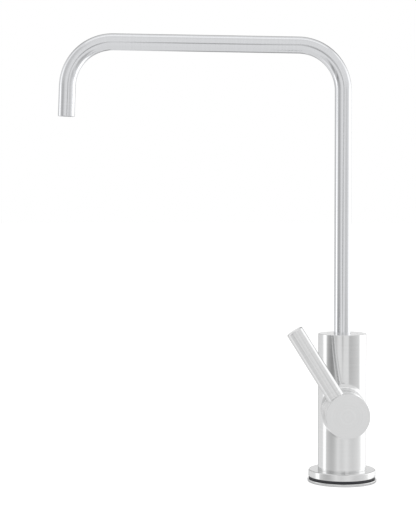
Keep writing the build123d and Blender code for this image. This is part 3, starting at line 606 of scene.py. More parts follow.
def moulded_material(name, base, roughness, grain, depth, dust, dust_colour, shades):
    """A moulded rubber, plastic or ceramic."""
    _, t, coordinates = new_material(name)
    place_of = coordinates["Object"]
    surface = t.group("Moulded Skin", {"Grain Size": grain, "Dust": dust, "Place": place_of})
    marks = t.group("Handling Marks", {"Amount": 1.0, "Place": place_of})
    clean = t.mix(surface["Tone"], *(shaded(base, level) for level in shades))
    sockets = {
        "Base Color": t.mix(surface["Dust"], clean, (*dust_colour, 1.0)),
        "Roughness": uneven(t, roughness, surface["Tone"], 0.12, (marks["Marks"], 0.05)),
    }
    principled(t, depth, t.total((surface["Height"], 1.0), (marks["Scratches"], -0.4)), sockets)


# Operators


class TAP_OT_finishes(bpy.types.Operator):
    """Make the tap's materials and give them to the CAD nodes"""

    bl_idname = "tap.finishes"
    bl_label = "Finishes"

    def execute(self, context):
        finishes = context.scene.tap_finishes
        brushed_lines_group()
        handling_group()
        moulded_skin_group()
        steel = finishes.plain_steel
        satin = (finishes.satin_roughness, finishes.line_spacing, "map")
        stretch = finishes.satin_stretch
        # The values are roughness, line spacing, line direction, bump depth, shades and stretch.
        metals = [
            ("Satin Steel Turned", finishes.satin_steel, *satin, 1.7e-6, (0.945, 1.055), stretch),
            ("Satin Steel Tube", finishes.spout_steel, *satin, 1.6e-6, (0.95, 1.05), stretch),
            ("Plain Steel", steel, 0.30, 0.0003, "Z", 1.5e-6, (0.93, 1.05)),
            ("Threaded Steel", steel, 0.26, 0.0002, "map", 1.0e-6, (0.9, 1.05)),
            ("Machined Brass", finishes.brass, 0.24, 0.0004, "Y", 2.0e-6, (0.92, 1.05)),
        ]
        for values in metals:
            metal_material(*values)
        # The values are roughness, grain size, bump depth, dust, dust colour and shades.
        moulded = [
            ("Black Rubber", finishes.rubber, 0.58, 0.00025, 1.2e-5, 0.25, (0.16, 0.16, 0.17),
             (0.75, 1.3)),
            ("White Acetal", finishes.acetal, 0.40, 0.0004, 4.0e-6, 0.05, (0.6, 0.58, 0.52),
             (0.96, 1.03)),
            ("Lapped Alumina", finishes.alumina, 0.22, 0.00012, 1.0e-6, 0.10, (0.6, 0.6, 0.57),
             (0.96, 1.03)),
            ("Grey Moulded Cap", finishes.grey_cap, 0.50, 0.0003, 5.0e-6, 0.08, (0.6, 0.6, 0.6),
             (0.93, 1.05)),
        ]
        for values in moulded:
            moulded_material(*values)
        for node, slot in SLOT_OF.items():
            set_finish(frame["nodes"][node], FINISH_OF[slot])
        return {"FINISHED"}


class TAP_OT_spout(bpy.types.Operator):
    """Sweep the spout tube along its bent path"""

    bl_idname = "tap.spout"
    bl_label = "Spout Tube"

    def execute(self, context):
        sizes = context.scene.tap_sizes
        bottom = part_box("spout_tube")[0].z
        far_height = sizes.arm_height + sizes.spout_reach * tan(sizes.arm_slope)
        out = sizes.spout_reach + sizes.outlet_drop * tan(sizes.outlet_lean)
        corners = [
            (0.0, 0.0, bottom),
            (0.0, 0.0, sizes.arm_height),
            (-sizes.spout_reach, 0.0, far_height),
            (-out, 0.0, far_height - sizes.outlet_drop),
        ]
        path = bpy.data.curves.new("spout_path", "CURVE")
        path.dimensions = "3D"
        run = path.splines.new("POLY")
        run.points.add(len(corners) - 1)
        for point, corner in zip(run.points, corners):
            point.co = (*corner, 1.0)
        values = {
            "Outer Diameter": sizes.tube_diameter,
            "Wall": sizes.tube_wall,
            "Bend Radius": sizes.bend_radius,
            "Material": bpy.data.materials["Satin Steel Tube"],
        }
        tube = run_tree(path, tube_tree("Bent Tube"), values, "spout_tube_swept")
        close_tube(tube.data, (sizes.tube_diameter - sizes.tube_wall) / 2)
        ease_outlet(tube.data, Vector(corners[-1]), sizes.tube_diameter * 0.6)
        map_tube(tube.data)
        face_outwards(tube.data)
        place(tube, "spout_tube", "Satin Steel Tube")
        return {"FINISHED"}


def stored_run(t, curve, name, measure):
    """The curve with each point's run along it, as a length or a share, kept under a name."""
    run = t.add("GeometryNodeSplineParameter").outputs[measure]
    sockets = {"Geometry": curve, "Name": name, "Value": run}
    kept = t.add("GeometryNodeStoreNamedAttribute", sockets, data_type="FLOAT", domain="POINT")
    return kept.outputs["Geometry"]


def swept_walls(t, path, radii, sides):
    """Round walls swept along one path."""
    path = stored_run(t, path, "along", "Length")
    for radius in radii:
        sockets = {"Resolution": sides, "Radius": radius}
        circle = t.add("GeometryNodeCurvePrimitiveCircle", sockets, mode="RADIUS").outputs["Curve"]
        sockets = {"Curve": path, "Profile Curve": stored_run(t, circle, "around", "Factor")}
        yield t.add("GeometryNodeCurveToMesh", sockets).outputs["Mesh"]


def finish_tree(t, outer, inner, material):
    """Joins the outer wall to the inner one turned round, realizes both and sets their material."""
    joined = t.add("GeometryNodeJoinGeometry")
    flipped = t.add("GeometryNodeFlipFaces", {"Mesh": inner})
    for wall in (outer, flipped.outputs["Mesh"]):
        t.tree.links.new(wall, joined.inputs["Geometry"])
    real = t.add("GeometryNodeRealizeInstances", {"Geometry": joined.outputs["Geometry"]})
    sockets = {"Geometry": real.outputs["Geometry"], "Material": material}
    painted = t.add("GeometryNodeSetMaterial", sockets)
    t.add("NodeGroupOutput", {"Geometry": painted.outputs["Geometry"]})
    return t.tree


def tube_tree(name):
    """Geometry nodes that round a path's corners and sweep a tube along it."""
    t, inputs = group_tree(
        name,
        "GeometryNodeTree",
        [
            ("Geometry", "Geometry", None),
            ("Outer Diameter", "Float", 0.0111),
            ("Wall", "Float", 0.001),
            ("Bend Radius", "Float", 0.03),
            ("Sides", "Int", 72),
            ("Bend Steps", "Int", 40),
            ("Material", "Material", None),
        ],
        [("Geometry", "Geometry")],
    )
    sockets = {"Curve": inputs["Geometry"], "Count": inputs["Bend Steps"]}
    sockets |= {"Radius": inputs["Bend Radius"], "Limit Radius": True}
    rounded = t.add("GeometryNodeFilletCurve", sockets, mode="POLY")
    outer_radius = t.math("MULTIPLY", inputs["Outer Diameter"], 0.5)
    inner_radius = t.math("SUBTRACT", outer_radius, inputs["Wall"])
    radii = (outer_radius, inner_radius)
    outer, inner = swept_walls(t, rounded.outputs["Curve"], radii, inputs["Sides"])
    return finish_tree(t, outer, inner, inputs["Material"])


def run_tree(data, tree, values, name):
    """Runs a geometry tree on a curve or mesh with named values and returns a plain mesh object."""
    holder = new_piece(name, data)
    modifier = holder.modifiers.new(tree.name, "NODES")
    modifier.node_group = tree
    for item in tree.interface.items_tree:
        if item.in_out == "INPUT" and item.name in values:
            modifier[item.identifier] = values[item.name]
    mesh = evaluated_mesh(holder)
    holder.modifiers.clear()
    bpy.data.objects.remove(holder)
    mesh.name = name
    return new_piece(name, mesh)


def open_rims(shell):
    """The mesh's open edges, one list for each rim."""
    found = set()
    rims = []
    for start in shell.edges:
        if not start.is_boundary or start in found:
            continue
        found.add(start)
        rim = [start]
        for edge in rim:
            for near in (near for vert in edge.verts for near in vert.link_edges):
                if near.is_boundary and near not in found:
                    found.add(near)
                    rim.append(near)
        rims.append(rim)
    return rims


def rim_middle(rim):
    """The middle of a rim."""
    points = {vert for edge in rim for vert in edge.verts}
    return sum((vert.co for vert in points), Vector()) / len(points)


def close_tube(mesh, near):
    """Joins the outer wall's rims to the inner wall's, so the tube is one closed shell."""
    with editing(mesh) as shell:
        rims = open_rims(shell)
        if len(rims) != 4:
            raise RuntimeError("a tube has four rims, and this one has %d" % len(rims))
        while rims:
            first = rims.pop()
            gaps = [(rim_middle(rim) - rim_middle(first)).length for rim in rims]
            if min(gaps) > near:
                raise RuntimeError("the tube's rims lie too far apart")
            bmesh.ops.bridge_loops(shell, edges=first + rims.pop(gaps.index(min(gaps))))
        if any(edge.is_boundary for edge in shell.edges):
            raise RuntimeError("the tube is still open")


def ease_outlet(mesh, end, reach):
    """Rounds the two rims within reach of the tube's open end."""
    with editing(mesh) as shell:
        rims = []
        for edge in shell.edges:
            at_end = all((vert.co - end).length < reach for vert in edge.verts)
            if at_end and edge.calc_face_angle(0.0) > RIM_ANGLE:
                rims.append(edge)
        bmesh.ops.bevel(
            shell, geom=rims, offset=OUTLET_EASE, offset_type="OFFSET", segments=3, profile=0.5,
            affect="EDGES",
        )


def map_tube(mesh):
    """A UV map round the tube in u and along it, in metres, in v."""
    with editing(mesh) as shell:
        along = shell.verts.layers.float["along"]
        around = shell.verts.layers.float["around"]
        uv = shell.loops.layers.uv.new("UVMap")
        for face in shell.faces:
            turns = [loop.vert[around] for loop in face.loops]
            for loop, turn in zip(face.loops, turns):
                if max(turns) - turn > 0.5:
                    turn += 1.0
                loop[uv].uv = (turn, loop.vert[along])


def blend_ring(name, body_radius, boss_radius, boss_end, blend, height, sides, steps=18):
    """The hollow of a ball rolled round the corner between the upright body and its boss.

    A closed ring, sunk a little into both and faced off short of the boss's end. The UV map runs
    round the boss in u and across the blend, in metres, in v.
    """
    body_reach = body_radius + blend
    on_body = body_radius / body_reach
    in_body = (body_radius - BLEND_SINK) / body_reach
    inside_boss = boss_radius - BLEND_SINK
    rise = Vector((0.0, 0.0, height))
    pitch = blend * pi / 2 / steps
    mesh = bpy.data.meshes.new(name)
    with editing(mesh) as shell:
        uv = shell.loops.layers.uv.new("UVMap")
        spokes = []
        for index in range(sides):
            turn = 2 * pi * index / sides
            side = Vector((sin(turn), 0.0, cos(turn)))
            ball = side * (boss_radius + blend)
            ball.y = -sqrt(body_reach**2 - ball.x**2)
            to_body = (Vector((ball.x * on_body, ball.y * on_body, ball.z)) - ball).normalized()
            spoke = [Vector((ball.x * in_body, ball.y * in_body, ball.z))]
            for step in range(steps + 1):
                spoke.append(ball + to_body.slerp(-side, step / steps) * blend)
            spoke.append(side * inside_boss + Vector((0.0, ball.y, 0.0)))
            corner = side * inside_boss
            corner.y = -sqrt((body_radius - BLEND_SINK) ** 2 - corner.x**2)
            spoke.append(corner)
            for point in spoke:
                point.y = max(point.y, -boss_end)
            spokes.append([shell.verts.new(point + rise) for point in spoke])
        count = len(spokes[0])
        for index in range(sides):
            for step in range(count):
                places = [(index, step), (index + 1, step)]
                places += [(index + 1, step + 1), (index, step + 1)]
                verts = [spokes[column % sides][row % count] for column, row in places]
                for loop, (column, row) in zip(shell.faces.new(verts).loops, places):
                    loop[uv].uv = (column / sides, row * pitch)
    face_outwards(mesh)
    return new_piece(name, mesh)


class TAP_OT_body(bpy.types.Operator):
    """Turn the body with its side boss and bore the sockets for the spout, valve and shank"""

    bl_idname = "tap.body"
    bl_label = "Body"

    def execute(self, context):
        sizes = context.scene.tap_sizes
        sides = sizes.turned_sides
        ease = sizes.edge_round
        low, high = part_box("body")
        flange_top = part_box("base_flange")[1].z
        ring_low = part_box("spout_slip_ring")[0].z
        socket_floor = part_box("spout_tail")[0].z - TAIL_ROOM
        socket = cad_size("spout_tail", 0) / 2 + TURNING_GAP
        recess = cad_size("spout_retainer", 0) / 2 + SEAT_GAP
        shank_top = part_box("shank_seal")[1].z + SEAT_GAP
        shank_hole = sizes.thread_diameter / 2 + SEAT_GAP
        radius = sizes.body_diameter / 2
        outline = [(0.0, socket_floor), (socket, socket_floor), (socket, ring_low)]
        outline += [(recess, ring_low), (recess, high.z), (radius - BODY_CHAMFER, high.z)]
        outline += [(radius, high.z - BODY_CHAMFER), (radius, flange_top)]
        outline += [(SPIGOT_RADIUS, flange_top), (SPIGOT_RADIUS, low.z), (shank_hole, low.z)]
        outline += [(shank_hole, shank_top), (0.0, shank_top)]
        body = lathe("body_turned", eased(outline, ease), ORIGIN, UP, sides)
        height = cad_middle("knob", 2)
        centre = (0.0, 0.0, height)
        end = -low.y
        boss = sizes.boss_diameter / 2
        outline = [(0.0, 0.0), (boss, 0.0), (boss, end - BOSS_CHAMFER)]
        outline += [(boss - BOSS_CHAMFER, end), (0.0, end)]
        combine(body, lathe("boss", eased(outline, ease), centre, OUT, sides), "UNION")
        faced = end - BOSS_CHAMFER
        blend = blend_ring("blend", radius, boss, faced, sizes.boss_blend, height, sides)
        combine(body, blend, "UNION")
        if cad_size("cartridge_body", 0) / 2 > BARREL_RADIUS + SEAT_GAP:
            raise RuntimeError("the valve chamber is too small for the cartridge")
        chamber = stepped(
            CHAMBER_FLOOR,
            (SEAT_RADIUS + SEAT_GAP, BARREL_START),
            (BARREL_RADIUS + SEAT_GAP, end + PAST_FACE),
        )
        combine(body, lathe("chamber", chamber, centre, OUT, sides), "DIFFERENCE")
        place(body, "body")
        return {"FINISHED"}


class TAP_OT_base_stack(bpy.types.Operator):
    """Turn the flange, the rubber ring and the base plate under the body, and the spout's collar"""

    bl_idname = "tap.base_stack"
    bl_label = "Base Stack"

    def execute(self, context):
        sizes = context.scene.tap_sizes
        spigot_hole = SPIGOT_RADIUS + SEAT_GAP
        shank_hole = sizes.thread_diameter / 2 + SHANK_GAP
        mouth = sizes.tube_diameter / 2 + TURNING_GAP
        # The values are the hole's radius, the cuts of the hole's and the outside's top corners,
        # the radius of the easing and its steps.
        rings = {
            "base_flange": ("turned", spigot_hole, 0.0, FLANGE_CHAMFER, 0.00025, 3),
            "base_seal_ring": ("moulded", spigot_hole, 0.0, 0.0, 0.0005, 5),
            "base_plate": ("turned", shank_hole, 0.0, 0.0, 0.0005, 6),
            "spout_retainer": ("turned", mouth, RETAINER_CHAMFER, 0.0, 0.00012, 3),
        }
        for node, (made, hole, inner_cut, outer_cut, ease, steps) in rings.items():
            low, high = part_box(node)
            outer = cad_size(node, 0) / 2
            outline = [(hole, low.z), (outer, low.z), (outer, high.z - outer_cut)]
            if outer_cut:
                outline.append((outer - outer_cut, high.z))
            if inner_cut:
                outline.append((hole + inner_cut, high.z))
            outline.append((hole, high.z - inner_cut))
            outline = eased(outline, ease, True, steps)
            ring = lathe(node + "_" + made, outline, ORIGIN, UP, sizes.turned_sides, True)
            place(ring, node, "Satin Steel Turned" if made == "turned" else "Black Rubber")
        return {"FINISHED"}


class TAP_OT_knob(bpy.types.Operator):
    """Turn the drum knob and sink its lever pocket and set screw hole"""

    bl_idname = "tap.knob"
    bl_label = "Knob"

    def execute(self, context):
        sizes = context.scene.tap_sizes
        low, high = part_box("knob")
        radius = cad_size("knob", 2) / 2
        height = cad_middle("knob", 2)
        rear, face = -high.y, -low.y
        insert_low, insert_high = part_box("knob_insert")
        recess_floor = -insert_high.y
        insert = cad_size("knob_insert", 0) / 2 + SEAT_GAP
        recess = radius - KNOB_RIM_WALL
        outline = stepped(-insert_low.y, (insert, recess_floor), (recess, rear))[:-1]
        outline += [(radius - KNOB_REAR_CHAMFER, rear), (radius, rear + KNOB_REAR_CHAMFER)]
        outline += [(radius, face - KNOB_FACE_CHAMFER), (radius - KNOB_FACE_CHAMFER, face)]
        outline = eased(outline + [(0.0, face)], KNOB_EASE)
        knob = lathe("knob_turned", outline, (0.0, 0.0, height), OUT, sizes.turned_sides)
        lever = Vector((-sin(sizes.lever_tilt), 0.0, cos(sizes.lever_tilt)))
        past = radius + PAST_RIM
        pocket = sizes.lever_diameter / 2 + SEAT_GAP
        nodes = ("lever_stud", "set_screw", "set_screw_plug")
        stud, screw, plug = (cad_size(node, 1) / 2 + SEAT_GAP for node in nodes)
        holes = stepped(insert, (stud, sizes.lever_foot), (pocket, past))
        centre = (0.0, cad_middle("lever_rod", 1), height)
        combine(knob, lathe("pocket", holes, centre, lever, POCKET_SIDES), "DIFFERENCE")
        holes = stepped(insert, (screw, radius - PLUG_DEPTH), (plug, past))
        centre = (0.0, cad_middle("set_screw", 1), height)
        combine(knob, lathe("screw_hole", holes, centre, -lever, SCREW_HOLE_SIDES), "DIFFERENCE")
        place(knob, "knob")
        return {"FINISHED"}


class TAP_OT_lever(bpy.types.Operator):
    """Turn the lever rod with its drilled foot"""

    bl_idname = "tap.lever"
    bl_label = "Lever Rod"

    def execute(self, context):
        sizes = context.scene.tap_sizes
        centre = (0.0, cad_middle("lever_rod", 1), cad_middle("knob", 2))
        axis = (-sin(sizes.lever_tilt), 0.0, cos(sizes.lever_tilt))
        radius = sizes.lever_diameter / 2
        stud = cad_size("lever_stud", 1) / 2 + SEAT_GAP
        foot, tip = sizes.lever_foot, sizes.lever_tip
        outline = [(0.0, LEVER_DRILL_END), (stud, LEVER_DRILL_END), (stud, foot)]
        outline += [(radius - LEVER_FOOT_CHAMFER, foot), (radius, foot + LEVER_FOOT_CHAMFER)]
        outline += [(radius, tip - LEVER_TIP_CHAMFER), (radius - LEVER_TIP_CHAMFER, tip)]
        outline = eased(outline + [(0.0, tip)], LEVER_EASE)
        rod = lathe("lever_rod_turned", outline, centre, axis, LEVER_SIDES)
        place(rod, "lever_rod")
        return {"FINISHED"}


def thread_tree(name):
    """Geometry nodes that sweep a tube upright and cut a helical thread into it."""
    t, inputs = group_tree(
        name,
        "GeometryNodeTree",
        [
            ("Geometry", "Geometry", None),
            ("Outer Diameter", "Float", 0.0111),
            ("Bore", "Float", 0.0065),
            ("Pitch", "Float", 0.001058),
            ("Depth", "Float", 0.0006),
            ("Bottom", "Float", -0.056),
            ("Top", "Float", 0.0203),
            ("End Chamfer", "Float", 0.0005),
            ("Sides", "Int", 48),
            ("Rows", "Int", 505),
            ("Material", "Material", None),
        ],
        [("Geometry", "Geometry")],
    )
    sockets = {"Start": t.vector(Z=inputs["Bottom"]), "End": t.vector(Z=inputs["Top"])}
    line = t.add("GeometryNodeCurvePrimitiveLine", sockets, mode="POINTS").outputs["Curve"]
    rows = t.add("GeometryNodeResampleCurve", {"Curve": line, "Count": inputs["Rows"]})
    radius = t.math("MULTIPLY", inputs["Outer Diameter"], 0.5)
    radii = (radius, t.math("MULTIPLY", inputs["Bore"], 0.5))
    outer, inner = swept_walls(t, rows.outputs["Curve"], radii, inputs["Sides"])
    x, y, z = t.split(t.add("GeometryNodeInputPosition").outputs["Position"])
    turn = t.math("DIVIDE", t.math("ARCTAN2", y, x), 2 * pi)
    phase = t.math("FRACT", t.math("SUBTRACT", t.math("DIVIDE", z, inputs["Pitch"]), turn))
    valley = t.math("MULTIPLY", t.math("PINGPONG", phase, 0.5), 2.0)
    valley = t.math("MINIMUM", t.math("MULTIPLY", valley, VALLEY_STEEPNESS), 1.0)
    threaded = t.math("SUBTRACT", radius, t.math("MULTIPLY", valley, inputs["Depth"]))
    to_bottom = t.math("SUBTRACT", z, inputs["Bottom"])
    to_end = t.math("MINIMUM", to_bottom, t.math("SUBTRACT", inputs["Top"], z))
    chamfered = t.math("ADD", t.math("SUBTRACT", radius, inputs["End Chamfer"]), to_end)
    scale = t.math("DIVIDE", t.math("MINIMUM", threaded, chamfered), radius)
    moved = t.vector(X=t.math("MULTIPLY", x, scale), Y=t.math("MULTIPLY", y, scale), Z=z)
    cut = t.add("GeometryNodeSetPosition", {"Geometry": outer, "Position": moved})
    return finish_tree(t, cut.outputs["Geometry"], inner, inputs["Material"])


class TAP_OT_shank(bpy.types.Operator):
    """Cut the shank's helical thread"""

    bl_idname = "tap.shank"
    bl_label = "Threaded Shank"

    def execute(self, context):
        sizes = context.scene.tap_sizes
        low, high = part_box("threaded_shank")
        values = {
            "Outer Diameter": sizes.thread_diameter,
            "Bore": sizes.shank_bore,
            "Pitch": sizes.thread_pitch,
            "Depth": sizes.thread_depth,
            "Bottom": low.z,
            "Top": high.z,
            "Material": bpy.data.materials["Threaded Steel"],
        }
        empty = bpy.data.meshes.new("shank_start")
        shank = run_tree(empty, thread_tree("Threaded Tube"), values, "threaded_shank_cut")
        close_tube(shank.data, sizes.thread_diameter / 2)
        map_tube(shank.data)
        face_outwards(shank.data)
        place(shank, "threaded_shank", "Threaded Steel", THREAD_SHARP_ANGLE)
        return {"FINISHED"}


class TAP_OT_kept_shapes(bpy.types.Operator):
    """Joined and smoothly shaded copies of the pieces that keep their CAD shape"""

    bl_idname = "tap.kept_shapes"
    bl_label = "Kept Shapes"

    def execute(self, context):
        for node, slot in SLOT_OF.items():
            if frame["nodes"][node].hide_render:
                continue
            mesh = frame["nodes"][node].data.copy()
            mesh.name = node + "_finished"
            with editing(mesh) as shell:
                bmesh.ops.remove_doubles(shell, verts=shell.verts, dist=1e-6)
            place(new_piece(node + "_finished", mesh), node, FINISH_OF[slot])
        return {"FINISHED"}


# The layers of the reflector round the tap, from the lowest up: the heights between which each one
# takes over from the last, and its brightness as (direction in degrees, level) pairs. Zero is in
# front of the tap, and positive directions lie to its right.
PANEL_LAYERS = [
    (-2.40, -2.00, [
        (-180, 0.38), (-175, 0.42), (-172, 0.80), (-168, 0.78), (-165, 0.50), (-158, 0.50),
        (-154, 0.80), (-112, 0.84), (-99, 1.02), (-91, 1.02), (-84, 0.80), (-60, 0.74), (-46, 0.76),
        (-28, 0.86), (0, 0.82), (20, 0.85), (33, 0.52), (58, 0.55), (82, 0.80), (94, 1.4),
        (128, 1.4), (140, 0.84), (154, 0.80), (158, 0.50), (166, 0.48), (170, 0.78), (173, 0.78),
        (176, 0.42), (180, 0.38),
    ]),
    (-1.05, -0.85, [
        (-180, 0.34), (-175, 0.38), (-172, 0.80), (-168, 0.78), (-165, 0.48), (-158, 0.48),
        (-154, 0.80), (-112, 0.84), (-99, 0.98), (-90, 0.98), (-82, 0.66), (-74, 0.50), (-58, 0.38),
        (-46, 0.40), (-24, 0.85), (23, 0.85), (29, 0.54), (38, 0.54), (50, 0.60), (80, 0.74),
        (90, 1.4), (129, 1.4), (140, 1.2), (154, 1.1), (159, 0.52), (166, 0.50), (170, 0.78),
        (176, 0.40), (180, 0.34),
    ]),
    (-0.52, -0.42, [
        (-180, 0.36), (-176, 0.40), (-172, 0.80), (-168, 0.78), (-165, 0.55), (-159, 0.55),
        (-155, 0.82), (-112, 0.86), (-99, 1.4), (-92, 1.4), (-85, 0.74), (-72, 0.65), (-58, 0.60),
        (-46, 0.64), (-34, 0.75), (-24, 0.86), (-15, 0.79), (-6, 0.76), (4, 0.82), (14, 0.87),
        (30, 0.83), (46, 0.76), (70, 0.83), (90, 0.95), (101, 1.35), (140, 1.2), (154, 1.1),
        (160, 0.60), (166, 0.58), (171, 0.80), (176, 0.40), (180, 0.36),
    ]),
    (-0.29, -0.17, [
        (-180, 0.32), (-175, 0.36), (-172, 0.80), (-168, 0.78), (-165, 0.50), (-159, 0.50),
        (-155, 0.80), (-112, 0.86), (-99, 1.45), (-90, 1.45), (-82, 0.60), (-74, 0.42), (-58, 0.27),
        (-50, 0.26), (-43, 0.34), (-24, 0.85), (-12, 0.87), (23, 0.85), (29, 0.54), (38, 0.56),
        (50, 0.62), (80, 0.74), (90, 1.4), (129, 1.4), (140, 1.2), (154, 1.1), (160, 0.55),
        (166, 0.52), (171, 0.78), (176, 0.38), (180, 0.32),
    ]),
    (-0.12, 0.02, [
        (-180, 0.88), (-171, 0.86), (-167, 0.50), (-157, 0.46), (-151, 0.72), (-140, 0.62),
        (-118, 0.70), (-101, 1.4), (-91, 1.4), (-83, 0.80), (-76, 0.62), (-62, 0.47), (-48, 0.50),
        (-38, 0.70), (-24, 0.86), (23, 0.86), (31, 0.66), (56, 0.72), (72, 0.92), (82, 1.05),
        (92, 1.5), (129, 1.5), (140, 1.2), (152, 1.1), (156, 0.48), (163, 0.46), (168, 0.86),
        (180, 0.88),
    ]),
    (0.30, 0.70, [
        (-180, 0.42), (-154, 0.46), (-146, 0.78), (-112, 0.84), (-101, 1.2), (-91, 1.2),
        (-80, 0.72), (-62, 0.62), (-44, 0.70), (-26, 0.84), (84, 0.84), (92, 1.25), (129, 1.25),
        (140, 0.80), (152, 0.68), (160, 0.46), (180, 0.42),
    ]),
    (0.98, 1.30, [
        (-180, 0.40), (-140, 0.42), (-128, 0.60), (-110, 0.84), (-101, 1.0), (-91, 1.0),
        (-80, 0.72), (-62, 0.64), (-44, 0.72), (-26, 0.84), (84, 0.84), (92, 1.12), (122, 1.08),
        (132, 0.60), (140, 0.42), (180, 0.40),
    ]),
]
# The brightest level there is, which the ramps' colours are a share of.
PANEL_PEAK = 1.5
# The plain shade under the lowest layer and over the highest, and the heights where that starts.
PANEL_ENDS = shaded((0.84, 0.84, 0.84), 1 / PANEL_PEAK)
TOP_LAYER = (2.15, 2.55)
PANEL_RING = {"radius": 2.0, "low": -2.5, "high": 3.0, "sides": 180}
# The dim card's dark spots: middle in x and z, half width, half height and dimmest level.
DIM_SPOTS = ((-0.09, 0.12, 0.20, 0.24, 0.34), (0.15, 0.36, 0.17, 0.14, 0.36))
# The share of a spot that is at its dimmest, and the card's level outside its spots.
SPOT_CORE = 0.35
DIM_LEVEL = 0.85
# Where the overhead card fades, from its middle line, and its levels before and after.
OVERHEAD_FADE = (0.25, 0.6, 1.08, 0.82)
WHITE = (1.0, 1.0, 1.0, 1.0)
# Where the stage's parts stand, in metres. A card is given by two opposite corners.
FLOOR_HEIGHT = -0.00002
FLOOR_HOLE_GAP = 0.0008
FLOOR_NEAR_RADIUS = 0.036
FLOOR_FAR_RADIUS = 12.0
DIM_CARD = ((-0.29, -1.5, -0.12), (0.32, -1.5, 0.50))
OVERHEAD_CARD = ((-1.7, -0.6, 2.7), (1.7, 0.6, 2.7))
KEY_LAMP = (-1.1, -1.5, 1.5)
FILL_LAMP = (1.5, -0.9, 1.0)
LAMP_AIM = Vector((-0.06, 0.0, 0.12))
LAMP_SIZE = 1.4
# How bright the floor looks to the camera and to metal, and the room to metal.
FLOOR_SEEN = 0.62
FLOOR_MIRRORED = 0.06
ROOM_MIRRORED = 0.81


def panel_ramp(t, around, levels):
    """A colour ramp round the tap that holds one layer's levels."""
    ramp = t.add("ShaderNodeValToRGB", {"Fac": around})
    stops = ramp.color_ramp.elements
    while len(stops) < len(levels):
        stops.new(0.5)
    for stop, (direction, level) in zip(stops, levels):
        stop.position = direction / 360 + 0.5
    for stop, (direction, level) in zip(stops, levels):
        stop.color = (*[level / PANEL_PEAK] * 3, 1.0)
    return ramp.outputs["Color"]


def glow(t, tint, strength):
    """Ends a stage material in plain light."""
    light = t.add("ShaderNodeEmission", {"Color": tint, "Strength": strength})
    t.add("ShaderNodeOutputMaterial", {"Surface": light.outputs["Emission"]})


def surround_material():
    """White and grey reflector panels round the tap, by their direction and height."""
    material, t, coordinates = new_material("Reflector Panels")
    x, y, z = t.split(coordinates["Object"])
    away = t.math("ARCTAN2", x, t.math("MULTIPLY", y, -1.0))
    around = t.math("ADD", t.math("DIVIDE", away, 2 * pi), 0.5)
    layers = [(start, end, panel_ramp(t, around, levels)) for start, end, levels in PANEL_LAYERS]
    tint = PANEL_ENDS
    for start, end, layer in (*layers, (*TOP_LAYER, PANEL_ENDS)):
        height = t.carry(z, start, end, interpolation_type="SMOOTHSTEP")
        tint = t.mix(height, tint, layer)
    glow(t, tint, PANEL_PEAK)
    return material


def card_material():
    """A dim card in front, darker in its spots, that draws a line down each round piece."""
    material, t, coordinates = new_material("Dim Card")
    level = None
    for x, z, half_width, half_height, dimmest in DIM_SPOTS:
        sockets = {
            "Vector": coordinates["Object"],
            "Location": (-x / half_width, 0.0, -z / half_height),
            "Scale": (1 / half_width, 0.0, 1 / half_height),
        }
        centred = t.add("ShaderNodeMapping", sockets).outputs["Vector"]
        away = t.add("ShaderNodeVectorMath", {0: centred}, operation="LENGTH").outputs["Value"]
        spot = t.carry(away, SPOT_CORE, 1.0, dimmest, DIM_LEVEL)
        level = spot if level is None else t.math("MINIMUM", level, spot)
    glow(t, WHITE, level)
    return material


def overhead_material():
    """A soft white card overhead, brightest along its middle."""
    material, t, coordinates = new_material("Overhead Card")
    off_middle = t.math("ABSOLUTE", t.split(coordinates["Object"])["Y"])
    glow(t, WHITE, t.carry(off_middle, *OVERHEAD_FADE))
    return material


def floor_material(base):
    """A pale matt floor that renders white, keeps the shadow and hides nothing from below."""
    material, t, coordinates = new_material("Pale Floor")
    weave = t.noise(coordinates["Object"], 9.0, 4.0)
    tint = t.mix(weave, shaded(base, 0.99), shaded(base, 1.01))
    matt = t.add("ShaderNodeBsdfDiffuse", {"Color": tint})
    path = t.add("ShaderNodeLightPath").outputs
    seen = t.math("MAXIMUM", path["Is Camera Ray"], path["Is Transmission Ray"])
    level = t.total((seen, FLOOR_SEEN), (path["Is Glossy Ray"], FLOOR_MIRRORED))
    light = t.add("ShaderNodeEmission", {"Color": WHITE, "Strength": level})
    both = t.add(
        "ShaderNodeAddShader", {0: matt.outputs["BSDF"], 1: light.outputs["Emission"]}
    ).outputs["Shader"]
    through = t.add("ShaderNodeBsdfTransparent").outputs["BSDF"]
    back = t.add("ShaderNodeNewGeometry").outputs["Backfacing"]
    surface = t.add("ShaderNodeMixShader", {"Fac": back, 1: both, 2: through})
    t.add("ShaderNodeOutputMaterial", {"Surface": surface.outputs["Shader"]})
    return material


def white_room(stage):
    """A world that is white to the camera and a softer light to all else."""
    world = bpy.data.worlds.new("White Room")
    world.use_nodes = True
    world.node_tree.nodes.clear()
    t = Tree(world.node_tree)
    path = t.add("ShaderNodeLightPath").outputs
    seen = t.math("MAXIMUM", path["Is Camera Ray"], path["Is Transmission Ray"])
    ambient = stage.ambient
    parts = [(seen, 1.0 - ambient), (path["Is Glossy Ray"], ROOM_MIRRORED - ambient)]
    level = t.total(*parts, base=ambient)
    light = t.add("ShaderNodeBackground", {"Color": WHITE, "Strength": level})
    t.add("ShaderNodeOutputWorld", {"Surface": light.outputs["Background"]})
    return world


def stage_piece(name, mesh, material, mirrored_only=False):
    """A part of the stage, which may be seen in reflections alone."""
    mesh.materials.append(material)
    piece = new_piece(name, mesh)
    if mirrored_only:
        for ray in ("camera", "diffuse", "shadow", "transmission", "volume_scatter"):
            setattr(piece, "visible_" + ray, False)
    return piece


